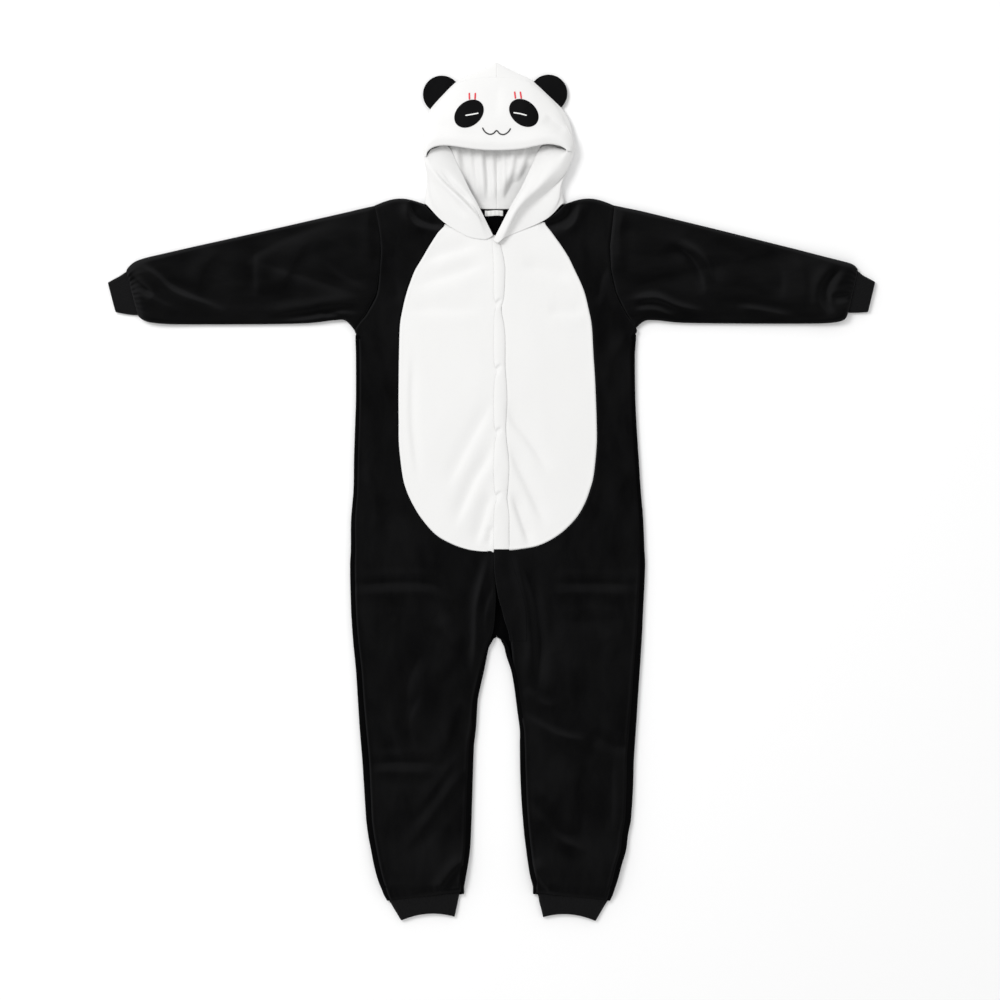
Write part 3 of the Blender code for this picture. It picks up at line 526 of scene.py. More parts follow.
bellyFolds = [  # height, half width, path: the folds of the laid front, ridges up and troughs down
    # left
    (-4.0, 11, [(-26, 508), (-90, 492), (-142, 474)]), (-3.4, 12, [(-10, 472), (-80, 447), (-160, 424)]),
    (-2.6, 11, [(-20, 373), (-96, 375), (-176, 375)]), (-2.4, 6, [(-150, 20), (-164, 148), (-162, 290)]),
    (-3.4, 10, [(-7, 196), (-15, 162), (-52, 93), (-96, 6)]),
    (-5.0, 9, [(-1, 106), (-15, 61), (-39, 19), (-80, -74)]), (-4.4, 8, [(-2, 3), (-15, -44), (-36, -112)]),
    (-3.0, 5, [(-1, -68), (-7, -112)]),
    # right
    (-3.2, 11, [(168, 434), (119, 452), (60, 468)]), (-2.6, 11, [(194, 371), (155, 370), (112, 371)]),
    (-4.2, 9, [(118, 40), (74, 109), (43, 151), (34, 190)]),
    (-4.6, 9, [(112, -72), (80, -2), (53, 56), (35, 104)]),
    (-6.0, 7, [(78, -116), (72, -91), (56, -44), (42, 2)]),
]
blackFolds = [
    # hips
    (-3.0, 8, [(-300, -190), (-240, -187), (-180, -185), (-123, -190), (-92, -216)]),
    (2.9, 12, [(-70, -290), (-90, -236), (-123, -208), (-180, -206), (-240, -208), (-300, -211)]),
    (2.8, 11, [(-62, -280), (-80, -345), (-118, -396)]),
    (-3.2, 8, [(122, -186), (170, -187), (220, -187), (300, -190)]),
    (2.9, 12, [(300, -211), (220, -207), (160, -206), (118, -208)]),
    (-1.8, 11, [(130, -260), (200, -264), (280, -262)]),
    (-1.4, 11, [(182, -244), (221, -271), (244, -297)]),
    (6.5, 9, [(44, -130), (60, -180), (72, -224), (78, -272), (81, -322), (79, -400)]),
    (-8.0, 9, [(96, -404), (99, -322), (95, -272), (89, -224), (77, -180), (60, -130)]),
    (-2.4, 11, [(123, -330), (126, -221), (123, -120)]),
    (7.5, 10, [(-36, -380), (-33, -322), (-31, -277), (-29, -232), (-20, -188), (-3, -120)]),
    (4.0, 6, [(-8, -306), (-10, -262), (-6, -236), (4, -196)]),
    (-2.6, 12, [(-150, -330), (-175, -400), (-180, -470)]),
    (2.4, 12, [(-60, -330), (-84, -300), (-120, -260)]),
    # left leg
    (5.0, 10, [(-50, -560), (-102, -633), (-144, -693), (-178, -730)]),
    (3.0, 9, [(-70, -540), (-118, -606), (-168, -672)]),
    (-3.2, 9, [(-250, -556), (-178, -554), (-112, -556)]),
    (3.0, 11, [(-112, -576), (-178, -574), (-250, -572)]),
    (-2.6, 12, [(-230, -420), (-208, -500), (-190, -560)]),
    (3.4, 12, [(-62, -420), (-90, -500), (-120, -560)]),
    (-2.4, 9, [(-150, -410), (-172, -470), (-160, -530)]),
    # right leg
    (4.4, 9, [(63, -455), (102, -482), (139, -500), (196, -514)]),
    (-3.6, 9, [(199, -492), (238, -512), (278, -529)]),
    (5.0, 10, [(74, -636), (107, -679), (139, -713), (195, -740)]),
    (2.8, 9, [(86, -590), (128, -652), (160, -700)]), (-3.0, 9, [(244, -533), (244, -611), (244, -699)]),
    (3.2, 12, [(150, -330), (165, -400), (160, -460)]), (-2.4, 10, [(190, -700), (180, -620), (196, -560)]),
    (2.6, 9, [(70, -400), (96, -430), (132, -446)]),
    # shoulders, beside the hood
    (-9.0, 7, [(-92, 545), (-129, 551), (-156, 568), (-164, 600)]),
    (6.0, 7, [(-178, 594), (-168, 556), (-134, 532)]),
    (-8.0, 7, [(94, 546), (129, 551), (156, 568), (164, 600)]),
    (5.0, 7, [(146, 532), (172, 556), (182, 594)]), (-2.6, 10, [(-222, 470), (-200, 430), (-192, 380)]),
    (-2.6, 10, [(236, 470), (222, 430), (214, 380)]), (2.6, 10, [(-265, 330), (-230, 270), (-215, 200)]),
    (2.6, 10, [(280, 330), (246, 270), (234, 200)]), (2.0, 12, [(-262, 60), (-240, -20), (-225, -110)]),
    (2.0, 12, [(284, 60), (258, -20), (240, -110)]),
]
ankleFolds = [  # cloth that hangs over the ankle cuffs
    (5.0, 8, [(-54, -748), (-84, -778), (-104, -806), (-124, -828)]),
    (5.0, 8, [(134, -828), (112, -806), (96, -782), (84, -752)]),
]


def loftAt(y):
    # the seams' height: the legs puff above the ankle cuffs, then shut down to them
    puff = body["anklePuff"] * ease(-y, 690, 785) * (1 - ease(-y, 806, 838))
    return body["loft"] + puff - body["ankleShut"] * ease(-y, 816, 838)


def frontHeight(x, y):
    # The front's height in plan: the seams' height, plus a crown over the torso and over each leg, plus a
    # slow unevenness made of three long waves, plus the folds
    middle = body["centreSeam"]
    torso = ease(y, -330, -200) * (1 - ease(y, 480, 600))
    crown = np.clip(1 - ((x - middle) / body["torsoHalf"]) ** 2, 0, 1) * torso
    legs = np.clip(1 - ((np.abs(x - middle) - body["legMiddle"]) / body["legHalf"]) ** 2, 0, 1)
    crown = crown + legs * (1 - torso) * ease(-y, 200, 330)
    slow = np.sin(x / 31 + y / 57) + np.sin(x / 47 - y / 38 + 1.3) + 0.7 * np.sin(x / 19 + y / 83 + 0.6)
    z = loftAt(y) + body["crown"] * crown + body["unevenness"] * slow * ease(y, -838, -790)
    z = z + foldSum(x, y, bellyFolds) + foldSum(x, y, ankleFolds)
    return z + body["foldDepth"] * foldSum(x, y, blackFolds)


def edgeAt(table, y, side):
    # x of an edge and the width of the back's turn there, by smooth interpolation down the table
    read = curveThrough(table, np.interp(-y, -table[:, 0], np.arange(len(table))))
    return read[:, 1 if side == "left" else 2], np.maximum(read[:, 3], 0)


frontRows = {  # the ribs of each front panel: y on the outer edge, then x and y on the inner edge
    "right": [
        (587, 149, 590), (566, 132, 573), (545, 109, 553), (522, 125, 529), (498, 143, 504),
        (474, 158, 480), (450, 170, 455), (427, 182, 430), (404, 191, 406), (375, 198.5, 375),
        (340, 205, 340), (285, 208.5, 281), (238, 211.5, 235), (192, 213.5, 189), (145, 215, 143),
        (97, 215, 96), (38, 209, 35), (8, 201, 4), (-25, 189, -27), (-58, 170, -57), (-90, 137, -88),
        (-115, 98, -109), (-138, 60, -117), (-156, 32, -120), (-172, 9, -124), (-202, 10, -166),
        (-234, 17, -208), (-266, 27, -252), (-297, 36, -292), (-325, 40, -324), (-365, 44, -365),
        (-396, 50, -396), (-426, 54, -426), (-457, 59, -457), (-488, 64.5, -488), (-519, 66, -519),
        (-580, 68, -580), (-642, 71, -642), (-703, 76, -703), (-734, 79.5, -733), (-765, 83, -762),
        (-795, 87, -787), (-820, 90, -808), (-838, 91, -822),
    ],
    "left": [
        (587, -139, 589), (566, -121, 571), (545, -98, 549), (521, -113, 529), (498, -129, 504),
        (474, -143, 480), (450, -158, 455), (426, -168, 430), (403, -176, 406), (375, -183.5, 375),
        (340, -189.2, 340), (284, -191, 281), (238, -191.7, 235), (191, -192, 189), (145, -191.7, 143),
        (97, -191, 96), (38, -184, 35), (7, -176, 4), (-25, -162, -27), (-58, -143, -57), (-90, -115, -88),
        (-115, -82, -107), (-138, -50, -118), (-156, -22, -122), (-172, 5, -124), (-202, 7, -166),
        (-234, 8, -206), (-266, 7, -244), (-298, 2.5, -286), (-325, -10.5, -320), (-350, -17, -346),
        (-380, -24, -378), (-426, -34, -426), (-457, -37, -457), (-488, -40.5, -488), (-519, -46, -519),
        (-580, -49, -580), (-642, -51, -642), (-703, -53, -703), (-734, -54.5, -733), (-765, -58, -762),
        (-795, -61.5, -787), (-818, -63, -806), (-838, -63, -820),
    ],
}
bellyRows = slice(2, 25)  # the rows whose inner end lies on the belly's seam


def seamDip(distance, swell=0.4):
    # The pull of the stitching: a narrow bell-shaped dip at the edge and a low swell of the turning just
    # inside it
    return (0.9 + swell) * np.exp(-(distance / 1.5) ** 2) - swell * np.exp(-((distance - 4.6) / 2.4) ** 2)


def shoulderDrop(grid, radius):
    # How far the cloth has turned over the shoulder: a quarter circle of this radius, measured from the
    # first row
    gap = np.clip(np.linalg.norm(grid - grid[:1], axis=2), 0, radius)
    return radius - np.sqrt(radius**2 - (radius - gap) ** 2)


def layPanel(kind, side, grid, finish):
    # A panel that lies face up, with all its edges turned under
    print(kind, side, "area", round(areaOf(grid), 4))
    grid, out = turnEdges(grid, facing(grid, (0, 0, 1)), ("first", "last", "near", "far"))
    return skin(kind + "_" + side, grid, out, finish, [kind + "_" + side[0]])


def addFront(side):
    settings = {"flat": (0.315, 1.46), "area": 0.290}
    table = np.array(frontRows[side], float)
    at = rowsEvery(table * (1, 0.7, 0.7), body["step"] * 1.15)
    at = np.r_[0, 0.02, 0.05, 0.09, 0.14, at[at > 0.17]]
    at = np.r_[at[at < len(table) - 1.1], len(table) - 1 - np.array([0.10, 0.06, 0.03, 0.0])]
    rows = curveThrough(table, at)
    x, wrap = edgeAt(sideTable, rows[:, 0], side)
    inward = 1 if side == "left" else -1
    outer = np.column_stack([x + inward * (wrap + 0.4), rows[:, 0]])
    inner = rows[:, 1:].copy()
    inner[:, 0] -= inward * 0.4
    shares = columnsFor(250, body["step"])
    plan = outer[:, None] + (inner - outer)[:, None] * shares[None, :, None]
    plan[..., 1] += body["shoulderBow"] * np.sin(math.pi * shares)[None] * (1 - ease(at, 0, 2.2))[:, None]
    long = np.linalg.norm(inner - outer, axis=1)[:, None]
    z = frontHeight(plan[..., 0], plan[..., 1])
    leg = ease(-rows[:, :1], 90, 230)
    z -= seamDip(shares[None] * long, 0.2 + 0.7 * leg) + seamDip((1 - shares[None]) * long, 0.1 + 0.7 * leg)
    flat = np.dstack([plan, np.zeros_like(z)])
    z -= shoulderDrop(flat, body["loft"] / 2)
    # the hem: a low roll 7.5 mm up from the cuff's seam, a dip at the seam and fine gathers
    hem = np.clip(np.linalg.norm(flat - flat[-1:], axis=2), 0, 12)
    z += 1.3 * np.exp(-((hem - 7.5) / 3.4) ** 2) - 2.2 * np.exp(-(hem / 3.0) ** 2)
    gather = 0.3 * np.sin(shares * 61 + 2 * np.sin(shares * 9))[None]
    z += gather * np.exp(-(np.linalg.norm(flat - flat[-1:], axis=2) / 22) ** 2)
    return layPanel("front", side, np.dstack([plan, z]), blackFleece), settings


def addBack(side):
    settings = {"flat": (0.345, 1.47), "area": 0.375}
    inward = 1 if side == "left" else -1
    # rows down the panel, closest together where the halves part into legs
    shoulder = body["shoulder"]
    stretches = ((shoulder, 300, 58), (294, -290, 74), (-294, -330, 10), (-336, -838, 92))
    y = np.concatenate([np.linspace(*stretch) for stretch in stretches])
    x, wrap = edgeAt(sideTable, y, side)
    inX, inWrap = edgeAt(inseamTable, y, side)
    seam = body["centreSeam"]
    split = ease(-y, 297, 304)  # 0 where the halves meet, 1 on the separate leg
    middle = seam - inward * 0.3
    inX = middle + (inX - middle) * split
    # the lower end of the inner edge stands higher than the outer edge, as the hem slopes
    innerY = y + 14 * ease(-y, 740, 838)
    high = loftAt(y)
    radius = high / 2
    rolled = ease(-y, -334, -318)
    turn = np.radians(np.linspace(90, -90, 11))
    outerX = [x + inward * wrap] + [x + inward * (radius - radius * math.cos(t)) for t in turn]
    outerZ = [high] + [radius + radius * math.sin(t) for t in turn]
    outerX = [rolled * a + (1 - rolled) * (x + inward * 1.4 * k) for k, a in enumerate(outerX)]
    outerZ = [rolled * a for a in outerZ]
    innerX = [inX - inward * (radius - radius * math.cos(t)) for t in turn[::-1]] + [inX - inward * inWrap]
    innerZ = [radius + radius * math.sin(t) for t in turn[::-1]] + [high]
    innerX = [split * a + (1 - split) * (inX - inward * 1.4 * (11 - k)) for k, a in enumerate(innerX)]
    innerZ = [split * a for a in innerZ]
    shares = np.linspace(0, 1, 26)[1:-1]
    start, end = outerX[-1], innerX[0]
    floorX = [start + (end - start) * s for s in shares]
    xs = np.array(outerX + floorX + innerX).T
    zs = np.array(outerZ + [np.zeros_like(y)] * len(floorX) + innerZ).T
    part = np.clip((xs - x[:, None]) / (inX - x)[:, None], 0, 1)
    ys = y[:, None] + (innerY - y)[:, None] * part
    # over the shoulder the back's first rows rise to meet the front, between the armhole and the hood
    corner = frontRows[side][0][1]
    over = np.clip((x[:1, None] - xs) / (x[0] - corner), 0, 1)
    neck = np.clip((xs - corner) / (seam - corner), 0, 1)
    bow = body["shoulderBow"] * np.sin(math.pi * over) * (over < 1)
    top = shoulder + 3 * over + bow - 9 * ease(neck, 0.0, 0.5)
    ys = ys + (top - shoulder) * (1 - ease(-y, -shoulder, -520))[:, None]
    onShoulder = 1 - ease(neck, 0.0, 0.06)
    turning = body["loft"] / 2
    gap = np.clip(ys[:1] - ys, 0, turning)
    zs = zs + onShoulder * (turning - np.sqrt(turning**2 - (turning - gap) ** 2))
    grid = np.dstack([xs, ys, zs])
    out = facing(grid)
    if out[100, 30, 2] > 0:
        out = -out
    area = areaOf(grid)
    grid, out = turnEdges(grid, out, ("near", "far"), deep=1.6, tuck=4.0)
    # the back panel takes the painted-shade copy of the black fleece
    piece = skin("back_" + side, grid, out, paintedShadeBackFleece, ["back_" + side[0]])
    print("back", side, "area", round(area, 4))
    return piece, settings


flyRows = np.array([  # the fly band: y, left x, right x. It is pulled in where its hidden fasteners hold it
    (520, 1.5, 13), (502, 2, 18.5), (478, 3, 24), (455, 4, 26.6), (420, 4, 25.5), (396, 5.5, 23.5),
    (381, 9, 19.5), (368, 6, 19.5), (345, 4.5, 24), (322, 4, 26.6), (290, 4, 27), (262, 5.5, 26.8),
    (246, 9.5, 27.5), (230, 6, 29), (205, 4.5, 30.5), (182, 4, 30.7), (150, 4.5, 29), (132, 6, 28.2),
    (117.5, 10, 28.7), (103, 6.5, 30), (75, 4.5, 33.5), (47, 4, 34.8), (15, 5, 33), (0, 6.5, 31.4),
    (-14, 10, 30.7), (-28, 6.5, 32.5), (-51, 4.5, 34.8), (-85, 4, 35), (-117, 4, 35.5),
], float)
flyFoot = np.array([  # the black end of the band, down into the crotch
    (-118, 4, 35), (-142, 4.6, 41), (-166, 6, 48), (-186, 8.5, 55), (-203, 11, 61), (-222, 15, 66),
    (-240, 20.5, 69.5), (-262, 26, 71), (-285, 33.5, 71.5), (-306, 37.2, 71),
], float)


def addBelly(side):
    settings = {"left": {"flat": (0.22, 0.68), "area": 0.128},
                "right": {"flat": (0.19, 0.68), "area": 0.110}}[side]
    table = np.array(frontRows[side], float)[bellyRows, 1:]
    at = rowsEvery(table, 3.2)
    seam = curveThrough(table, at)
    inward = 1 if side == "left" else -1
    seam[:, 0] += inward * 0.4
    top, foot = (524.0, -123.5) if side == "left" else (524.0, -119.5)
    along = np.r_[0, np.cumsum(np.linalg.norm(np.diff(seam, axis=0), axis=1))]
    y = top + (foot - top) * (0.55 * along / along[-1] + 0.45 * ease(along / along[-1], 0, 1))
    if side == "left":  # runs on under the fly band
        x = np.interp(-y, -flyRows[:, 0], flyRows[:, 2]) - 1.5
    else:  # ends against the fly band's seam
        x = np.interp(-y, -flyRows[:, 0], flyRows[:, 2]) + 0.1
    centre = np.column_stack([x, y])
    shares = columnsFor(190, 3.2)
    plan = seam[:, None] + (centre - seam)[:, None] * shares[None, :, None]
    # the neck seam bows up towards the hood between the panel's corner and the centre
    bow = np.sin(math.pi * shares)[None] * (1 - ease(at, 0, 1.6))[:, None]
    plan[..., 1] += (3.0 if side == "left" else 5.0) * bow
    long = np.linalg.norm(centre - seam, axis=1)[:, None]
    dip = seamDip(shares * long)
    if side == "right":
        dip = dip + 0.7 * np.exp(-((1 - shares) * long / 3.2) ** 2)
    fromNeck = np.linalg.norm(plan - plan[:1], axis=2)
    z = frontHeight(plan[..., 0], plan[..., 1]) - dip - 2.8 * np.exp(-(fromNeck / 8.0) ** 2)
    return layPanel("belly", side, np.dstack([plan, z]), whiteFleece), settings


flyFolds = [(-2.2, 3.5, [(4, y - 5), (8, y + 4), (14, y + 11), (21, y + 14)]) for y in (381, 246, 117.5, -14)]


def addFly(name, table, finish, node, settings):
    at = rowsEvery(table * (1, 0.3, 0.3), 1.6)
    rows = curveThrough(table, at)
    shares = np.r_[0, 0.03, 0.08, np.linspace(0.14, 0.86, 11), 0.92, 0.97, 1]
    left, right = rows[:, 1:2], rows[:, 2:3] - 0.1
    x = left + (right - left) * shares[None]
    y = np.repeat(rows[:, :1], len(shares), 1)
    # puffs between the fasteners: a low arch across the band, flatter where it is narrow
    arch = np.sin(math.pi * shares)[None] ** 0.7 * np.clip((right - left - 8) / 18, 0.15, 1)
    lift = settings["lift"] * (1 - 0.7 * shares[None] ** 2) + settings["puff"] * arch
    if settings["sinks"]:
        lift = 0.5 + (lift - 0.5) * (1 - ease(-y, 225, 300)) * (1 - 0.8 * ease(shares[None], 0.35, 1.0))
    lift = lift - settings["seam"] * np.exp(-((1 - shares[None]) * (right - left) / 2.0) ** 2)
    z = frontHeight(x, y) + lift + foldSum(x, y, settings["folds"])
    grid = np.dstack([x, y, z])
    piece = wall(name, grid, facing(grid, (0, 0, 1)), 1.9, finish, [node])
    print(name, "area", round(areaOf(grid), 4))
    return piece


# Sleeves and cuffs: flattened tubes

def flatTube(sections, step, across, arcs=7, crown=2.0, bow=None):
    # Rings along a flattened tube. Each section runs along its top from one edge to the other, round a half
    # circle, back along its underside and round again; the flats stand on the table and crown in their
    # middle.
    table = np.array(sections, float)
    at = rowsEvery(table[:, :4], step) if step else np.arange(len(table), dtype=float)
    rows = curveThrough(table, at)
    start, end, high = rows[:, 0:2], rows[:, 2:4], rows[:, 4]
    long = np.linalg.norm(end - start, axis=1)
    way = (end - start) / long[:, None]
    radius = high / 2
    flats = np.linspace(0, 1, across)
    arc = np.radians(np.linspace(90, -90, arcs)[1:-1])
    # distance along the section, height, and how much of the crown a point gets
    over = [(radius + s * (long - high), high, 1.0) for s in flats]
    under = [(radius + s * (long - high), 0 * high, 0.0) for s in flats[::-1]]
    rise = [(radius + radius * math.sin(t), 0.5 + 0.5 * math.sin(t)) for t in arc]
    farTurn = [(long - radius + radius * math.cos(t), *pair) for t, pair in zip(arc, rise)]
    nearTurn = [(radius - radius * math.cos(t), *pair) for t, pair in zip(arc[::-1], rise[::-1])]
    along, up, top = zip(*(over + farTurn + under + nearTurn))
    along, up, top = np.array(along).T, np.array(up).T, np.array(top)[None]
    share = along / long[:, None]
    plan = start[:, None] + way[:, None] * along[..., None]
    if bow is not None:
        plan[..., 0] += np.interp(share.ravel(), *bow[0]).reshape(share.shape) * bow[1](at)[:, None]
    z = up + crown * top * np.clip(1 - (2 * share - 1) ** 2, 0, 1)
    return np.dstack([plan, z]), top, share, at


sleeves = {
    "left": {
        "flat": (0.545, 0.60), "area": 0.262,
        "sections": [  # upper edge x, y, underarm edge x, y, height
            (-240.5, 586.5, -281, 331, 13), (-262, 582, -300, 351, 16), (-300, 573, -322, 352, 17),
            (-370, 557, -378, 346, 15), (-460, 536.5, -460, 344, 14), (-550, 516.5, -548, 343.5, 14),
            (-620, 501, -616, 343.5, 15), (-672, 489, -664, 344, 18), (-712, 479.5, -697, 347, 21),
            (-733, 471.5, -712, 351, 20), (-746, 460, -721, 356.5, 15), (-750, 452, -726, 362, 11),
        ],
        "armhole": [(-240.5, 586.5), (-232.5, 545), (-228, 500), (-230.5, 451), (-236.4, 404), (-258, 363),
            (-281, 331)],
        "folds": [
            (6.0, 9, [(-745, 478), (-691, 443), (-654, 410), (-570, 380)]),
            (-4.0, 9, [(-540, 378), (-640, 418), (-690, 462)]),
            (-7.0, 7, [(-744, 449), (-722, 428), (-694, 402)]),
            (3.4, 9, [(-744, 420), (-700, 396), (-640, 366)]),
            (5.5, 8, [(-262, 388), (-338, 384), (-379, 376), (-480, 362)]),
            (-6.0, 7, [(-262, 372), (-318, 372), (-380, 360), (-450, 352)]),
            (-6.0, 6, [(-352, 362), (-322, 362), (-296, 352)]),
            (-3.0, 11, [(-490, 505), (-492, 451), (-490, 400)]),
            (-3.6, 13, [(-256, 400), (-373, 440), (-490, 480)]),
            (-3.4, 12, [(-250, 420), (-312, 455), (-362, 502)]),
            (3.0, 13, [(-560, 500), (-600, 450), (-606, 392)]),
            (-2.6, 14, [(-320, 560), (-430, 520), (-520, 470)]),
            (3.4, 9, [(-256, 590), (-252, 520), (-250, 450)]),
            (2.4, 12, [(-380, 520), (-420, 450), (-440, 400)]),
        ],
    },
    "right": {
        "flat": (0.545, 0.60), "area": 0.262,
        "sections": [
            (250.5, 587.5, 296, 337, 13), (272, 583, 312, 350, 16), (310, 575, 334, 352, 17),
            (380, 558, 388, 347, 15), (470, 536, 470, 345.5, 14), (560, 513.5, 558, 345, 14),
            (630, 496, 626, 345, 15), (682, 482.5, 676, 345.5, 18), (718, 473.5, 706, 348, 21),
            (738, 467.5, 721, 352.5, 20), (748, 459.5, 727, 359, 15), (750, 453, 730, 367, 11),
        ],
        "armhole": [(250.5, 587.5), (246.5, 545), (241.5, 500), (244, 451), (255, 404), (276, 363),
            (296, 337)],
        "folds": [
            (-5.4, 8, [(355, 508), (400, 482), (424, 443), (432, 404)]),
            (4.0, 9, [(385, 515), (430, 480), (450, 425)]),
            (5.5, 8, [(285, 394), (334, 398), (373, 382), (440, 366)]),
            (-5.0, 6, [(288, 383), (340, 386), (392, 366)]), (4.4, 6, [(290, 372), (334, 373), (376, 355)]),
            (-6.0, 8, [(716, 462), (691, 426), (686, 394), (700, 366)]),
            (5.0, 8, [(704, 468), (674, 430), (668, 392), (684, 360)]),
            (-5.0, 6, [(696, 398), (716, 400), (736, 403)]), (4.4, 8, [(500, 378), (556, 370), (620, 356)]),
            (-3.4, 13, [(262, 410), (380, 440), (500, 470)]),
            (-3.0, 12, [(560, 505), (590, 450), (588, 390)]),
            (-2.6, 14, [(330, 562), (440, 520), (520, 478)]),
            (3.4, 9, [(268, 590), (262, 520), (264, 450)]), (2.6, 12, [(620, 490), (640, 430), (630, 370)]),
        ],
    },
}


def addSleeve(side):
    data = sleeves[side]
    hole = np.array(data["armhole"])
    chord = hole[-1] - hole[0]
    part = (hole - hole[0]) @ chord / (chord @ chord)
    offset = hole[:, 0] - (hole[0, 0] + chord[0] * part)
    bow = ((part, offset), lambda at: 1 - ease(at, 0, 3.2))
    rings, top, share, at = flatTube(data["sections"], 3.4, 78, arcs=9, crown=2.4, bow=bow)
    rings[..., 0] += (-0.5 if side == "left" else 0.5) * (1 - ease(at, 0, 0.4))[:, None]
    x, y = rings[..., 0], rings[..., 1]
    fold = foldSum(x, y, data["folds"]) + 0.35 * (np.sin(x / 27 + y / 61) + np.sin(x / 43 - y / 33))
    fade = ease(at, 0.0, 0.25)[:, None]
    fromCuff = (len(data["sections"]) - 1 - at)[:, None]
    gather = 0.9 * np.sin(share * 66) * np.exp(-(fromCuff / 1.6) ** 2)
    inside = np.clip(1.2 * np.sin(math.pi * np.clip(share, 0, 1)) ** 0.4, 0, 1)
    dips = 1.5 * np.exp(-(at[:, None] / 0.11) ** 2) + 1.6 * np.exp(-(fromCuff / 0.35) ** 2)
    rings[..., 2] += top * (fold * fade * inside + gather - dips)
    out = facingOut(rings)
    area = areaOf(rings, ring=True)
    rings, out = turnEdges(rings, out, ("first",), deep=3.4, tuck=-5.0)
    rings, out = turnEdges(rings, out, ("last",), deep=1.8, tuck=5.0)
    piece = skin("sleeve_" + side, rings, out, sleeveFleece, ["sleeve_" + side[0]], ring=True)
    print("sleeve", side, "area", round(area, 4))
    return piece


cuffs = {  # bow: how far the middle of each section bows up
    "wrist": {"bow": (0, 0, 0, 0), "flat": (0.200, 0.042), "area": 0.0078, "ribs": 54},
    "ankle": {"bow": (0, 3, 7, 10), "flat": (0.300, 0.050), "area": 0.0120, "ribs": 92},
}
cuffSections = {  # one edge's x, y, the other edge's x, y, height, from the sleeve or leg to the open end
    "wrist_left": [(-749.5, 451.5, -725.5, 362.5, 10), (-762, 443, -741, 363.5, 10),
                   (-776, 435.5, -757, 366, 10), (-787, 430, -771, 368.5, 9.4)],
    "wrist_right": [(749.5, 453.0, 730.5, 367.5, 10), (761, 443.5, 744, 367.5, 10),
                    (774, 437, 758, 368, 10), (785, 431, 770, 368.5, 9.4)],
    "ankle_left": [(-211, -836.5, -66, -820.5, 10), (-203, -850, -70, -838, 10),
                   (-195, -864, -73, -854, 10), (-187, -878, -76, -870, 9.4)],
    "ankle_right": [(238, -836.5, 94, -822.5, 10), (229, -850, 97, -839, 10),
                    (221, -865, 101, -856, 10), (213, -879, 104, -871, 9.4)],
}


def addCuff(kind, side):
    data, name = cuffs[kind], kind + "_" + side
    table = np.array(cuffSections[name], float)
    at = np.linspace(0, len(table) - 1, 22)
    sections = curveThrough(table, at)
    bow = np.interp(at, range(len(table)), data["bow"])
    across = data["ribs"] * 2 - 4
    rings, _, share, _ = flatTube(sections, None, across, arcs=8, crown=0.8)
    rings[..., 1] += bow[:, None] * np.clip(1 - (2 * share - 1) ** 2, 0, 1)
    out = facingOut(rings)
    # ribs: the wall rises and falls round the tube, a cosine of the distance along the ring
    closed = np.concatenate([rings, rings[:, :1]], 1)
    run = np.cumsum(np.linalg.norm(np.diff(closed, axis=1), axis=2), 1)
    run = np.concatenate([np.zeros((len(run), 1)), run], 1)
    wave = np.cos(2 * math.pi * data["ribs"] * run[:, :-1] / run[:, -1:])
    rings = rings + out * (0.42 * wave * ease(at, 0, 0.25)[:, None])[..., None]
    rings[..., 2] = np.maximum(rings[..., 2], 0.0)
    node = kind + "_cuff_" + side[0]
    piece = wall("cuff_" + name, rings, out, 2.6, blackRib, [node], ring=True)
    print("cuff", name, "area", round(areaOf(rings, ring=True), 4))
    return piece


# The hood: two halves with a centre seam, and the face panel over them

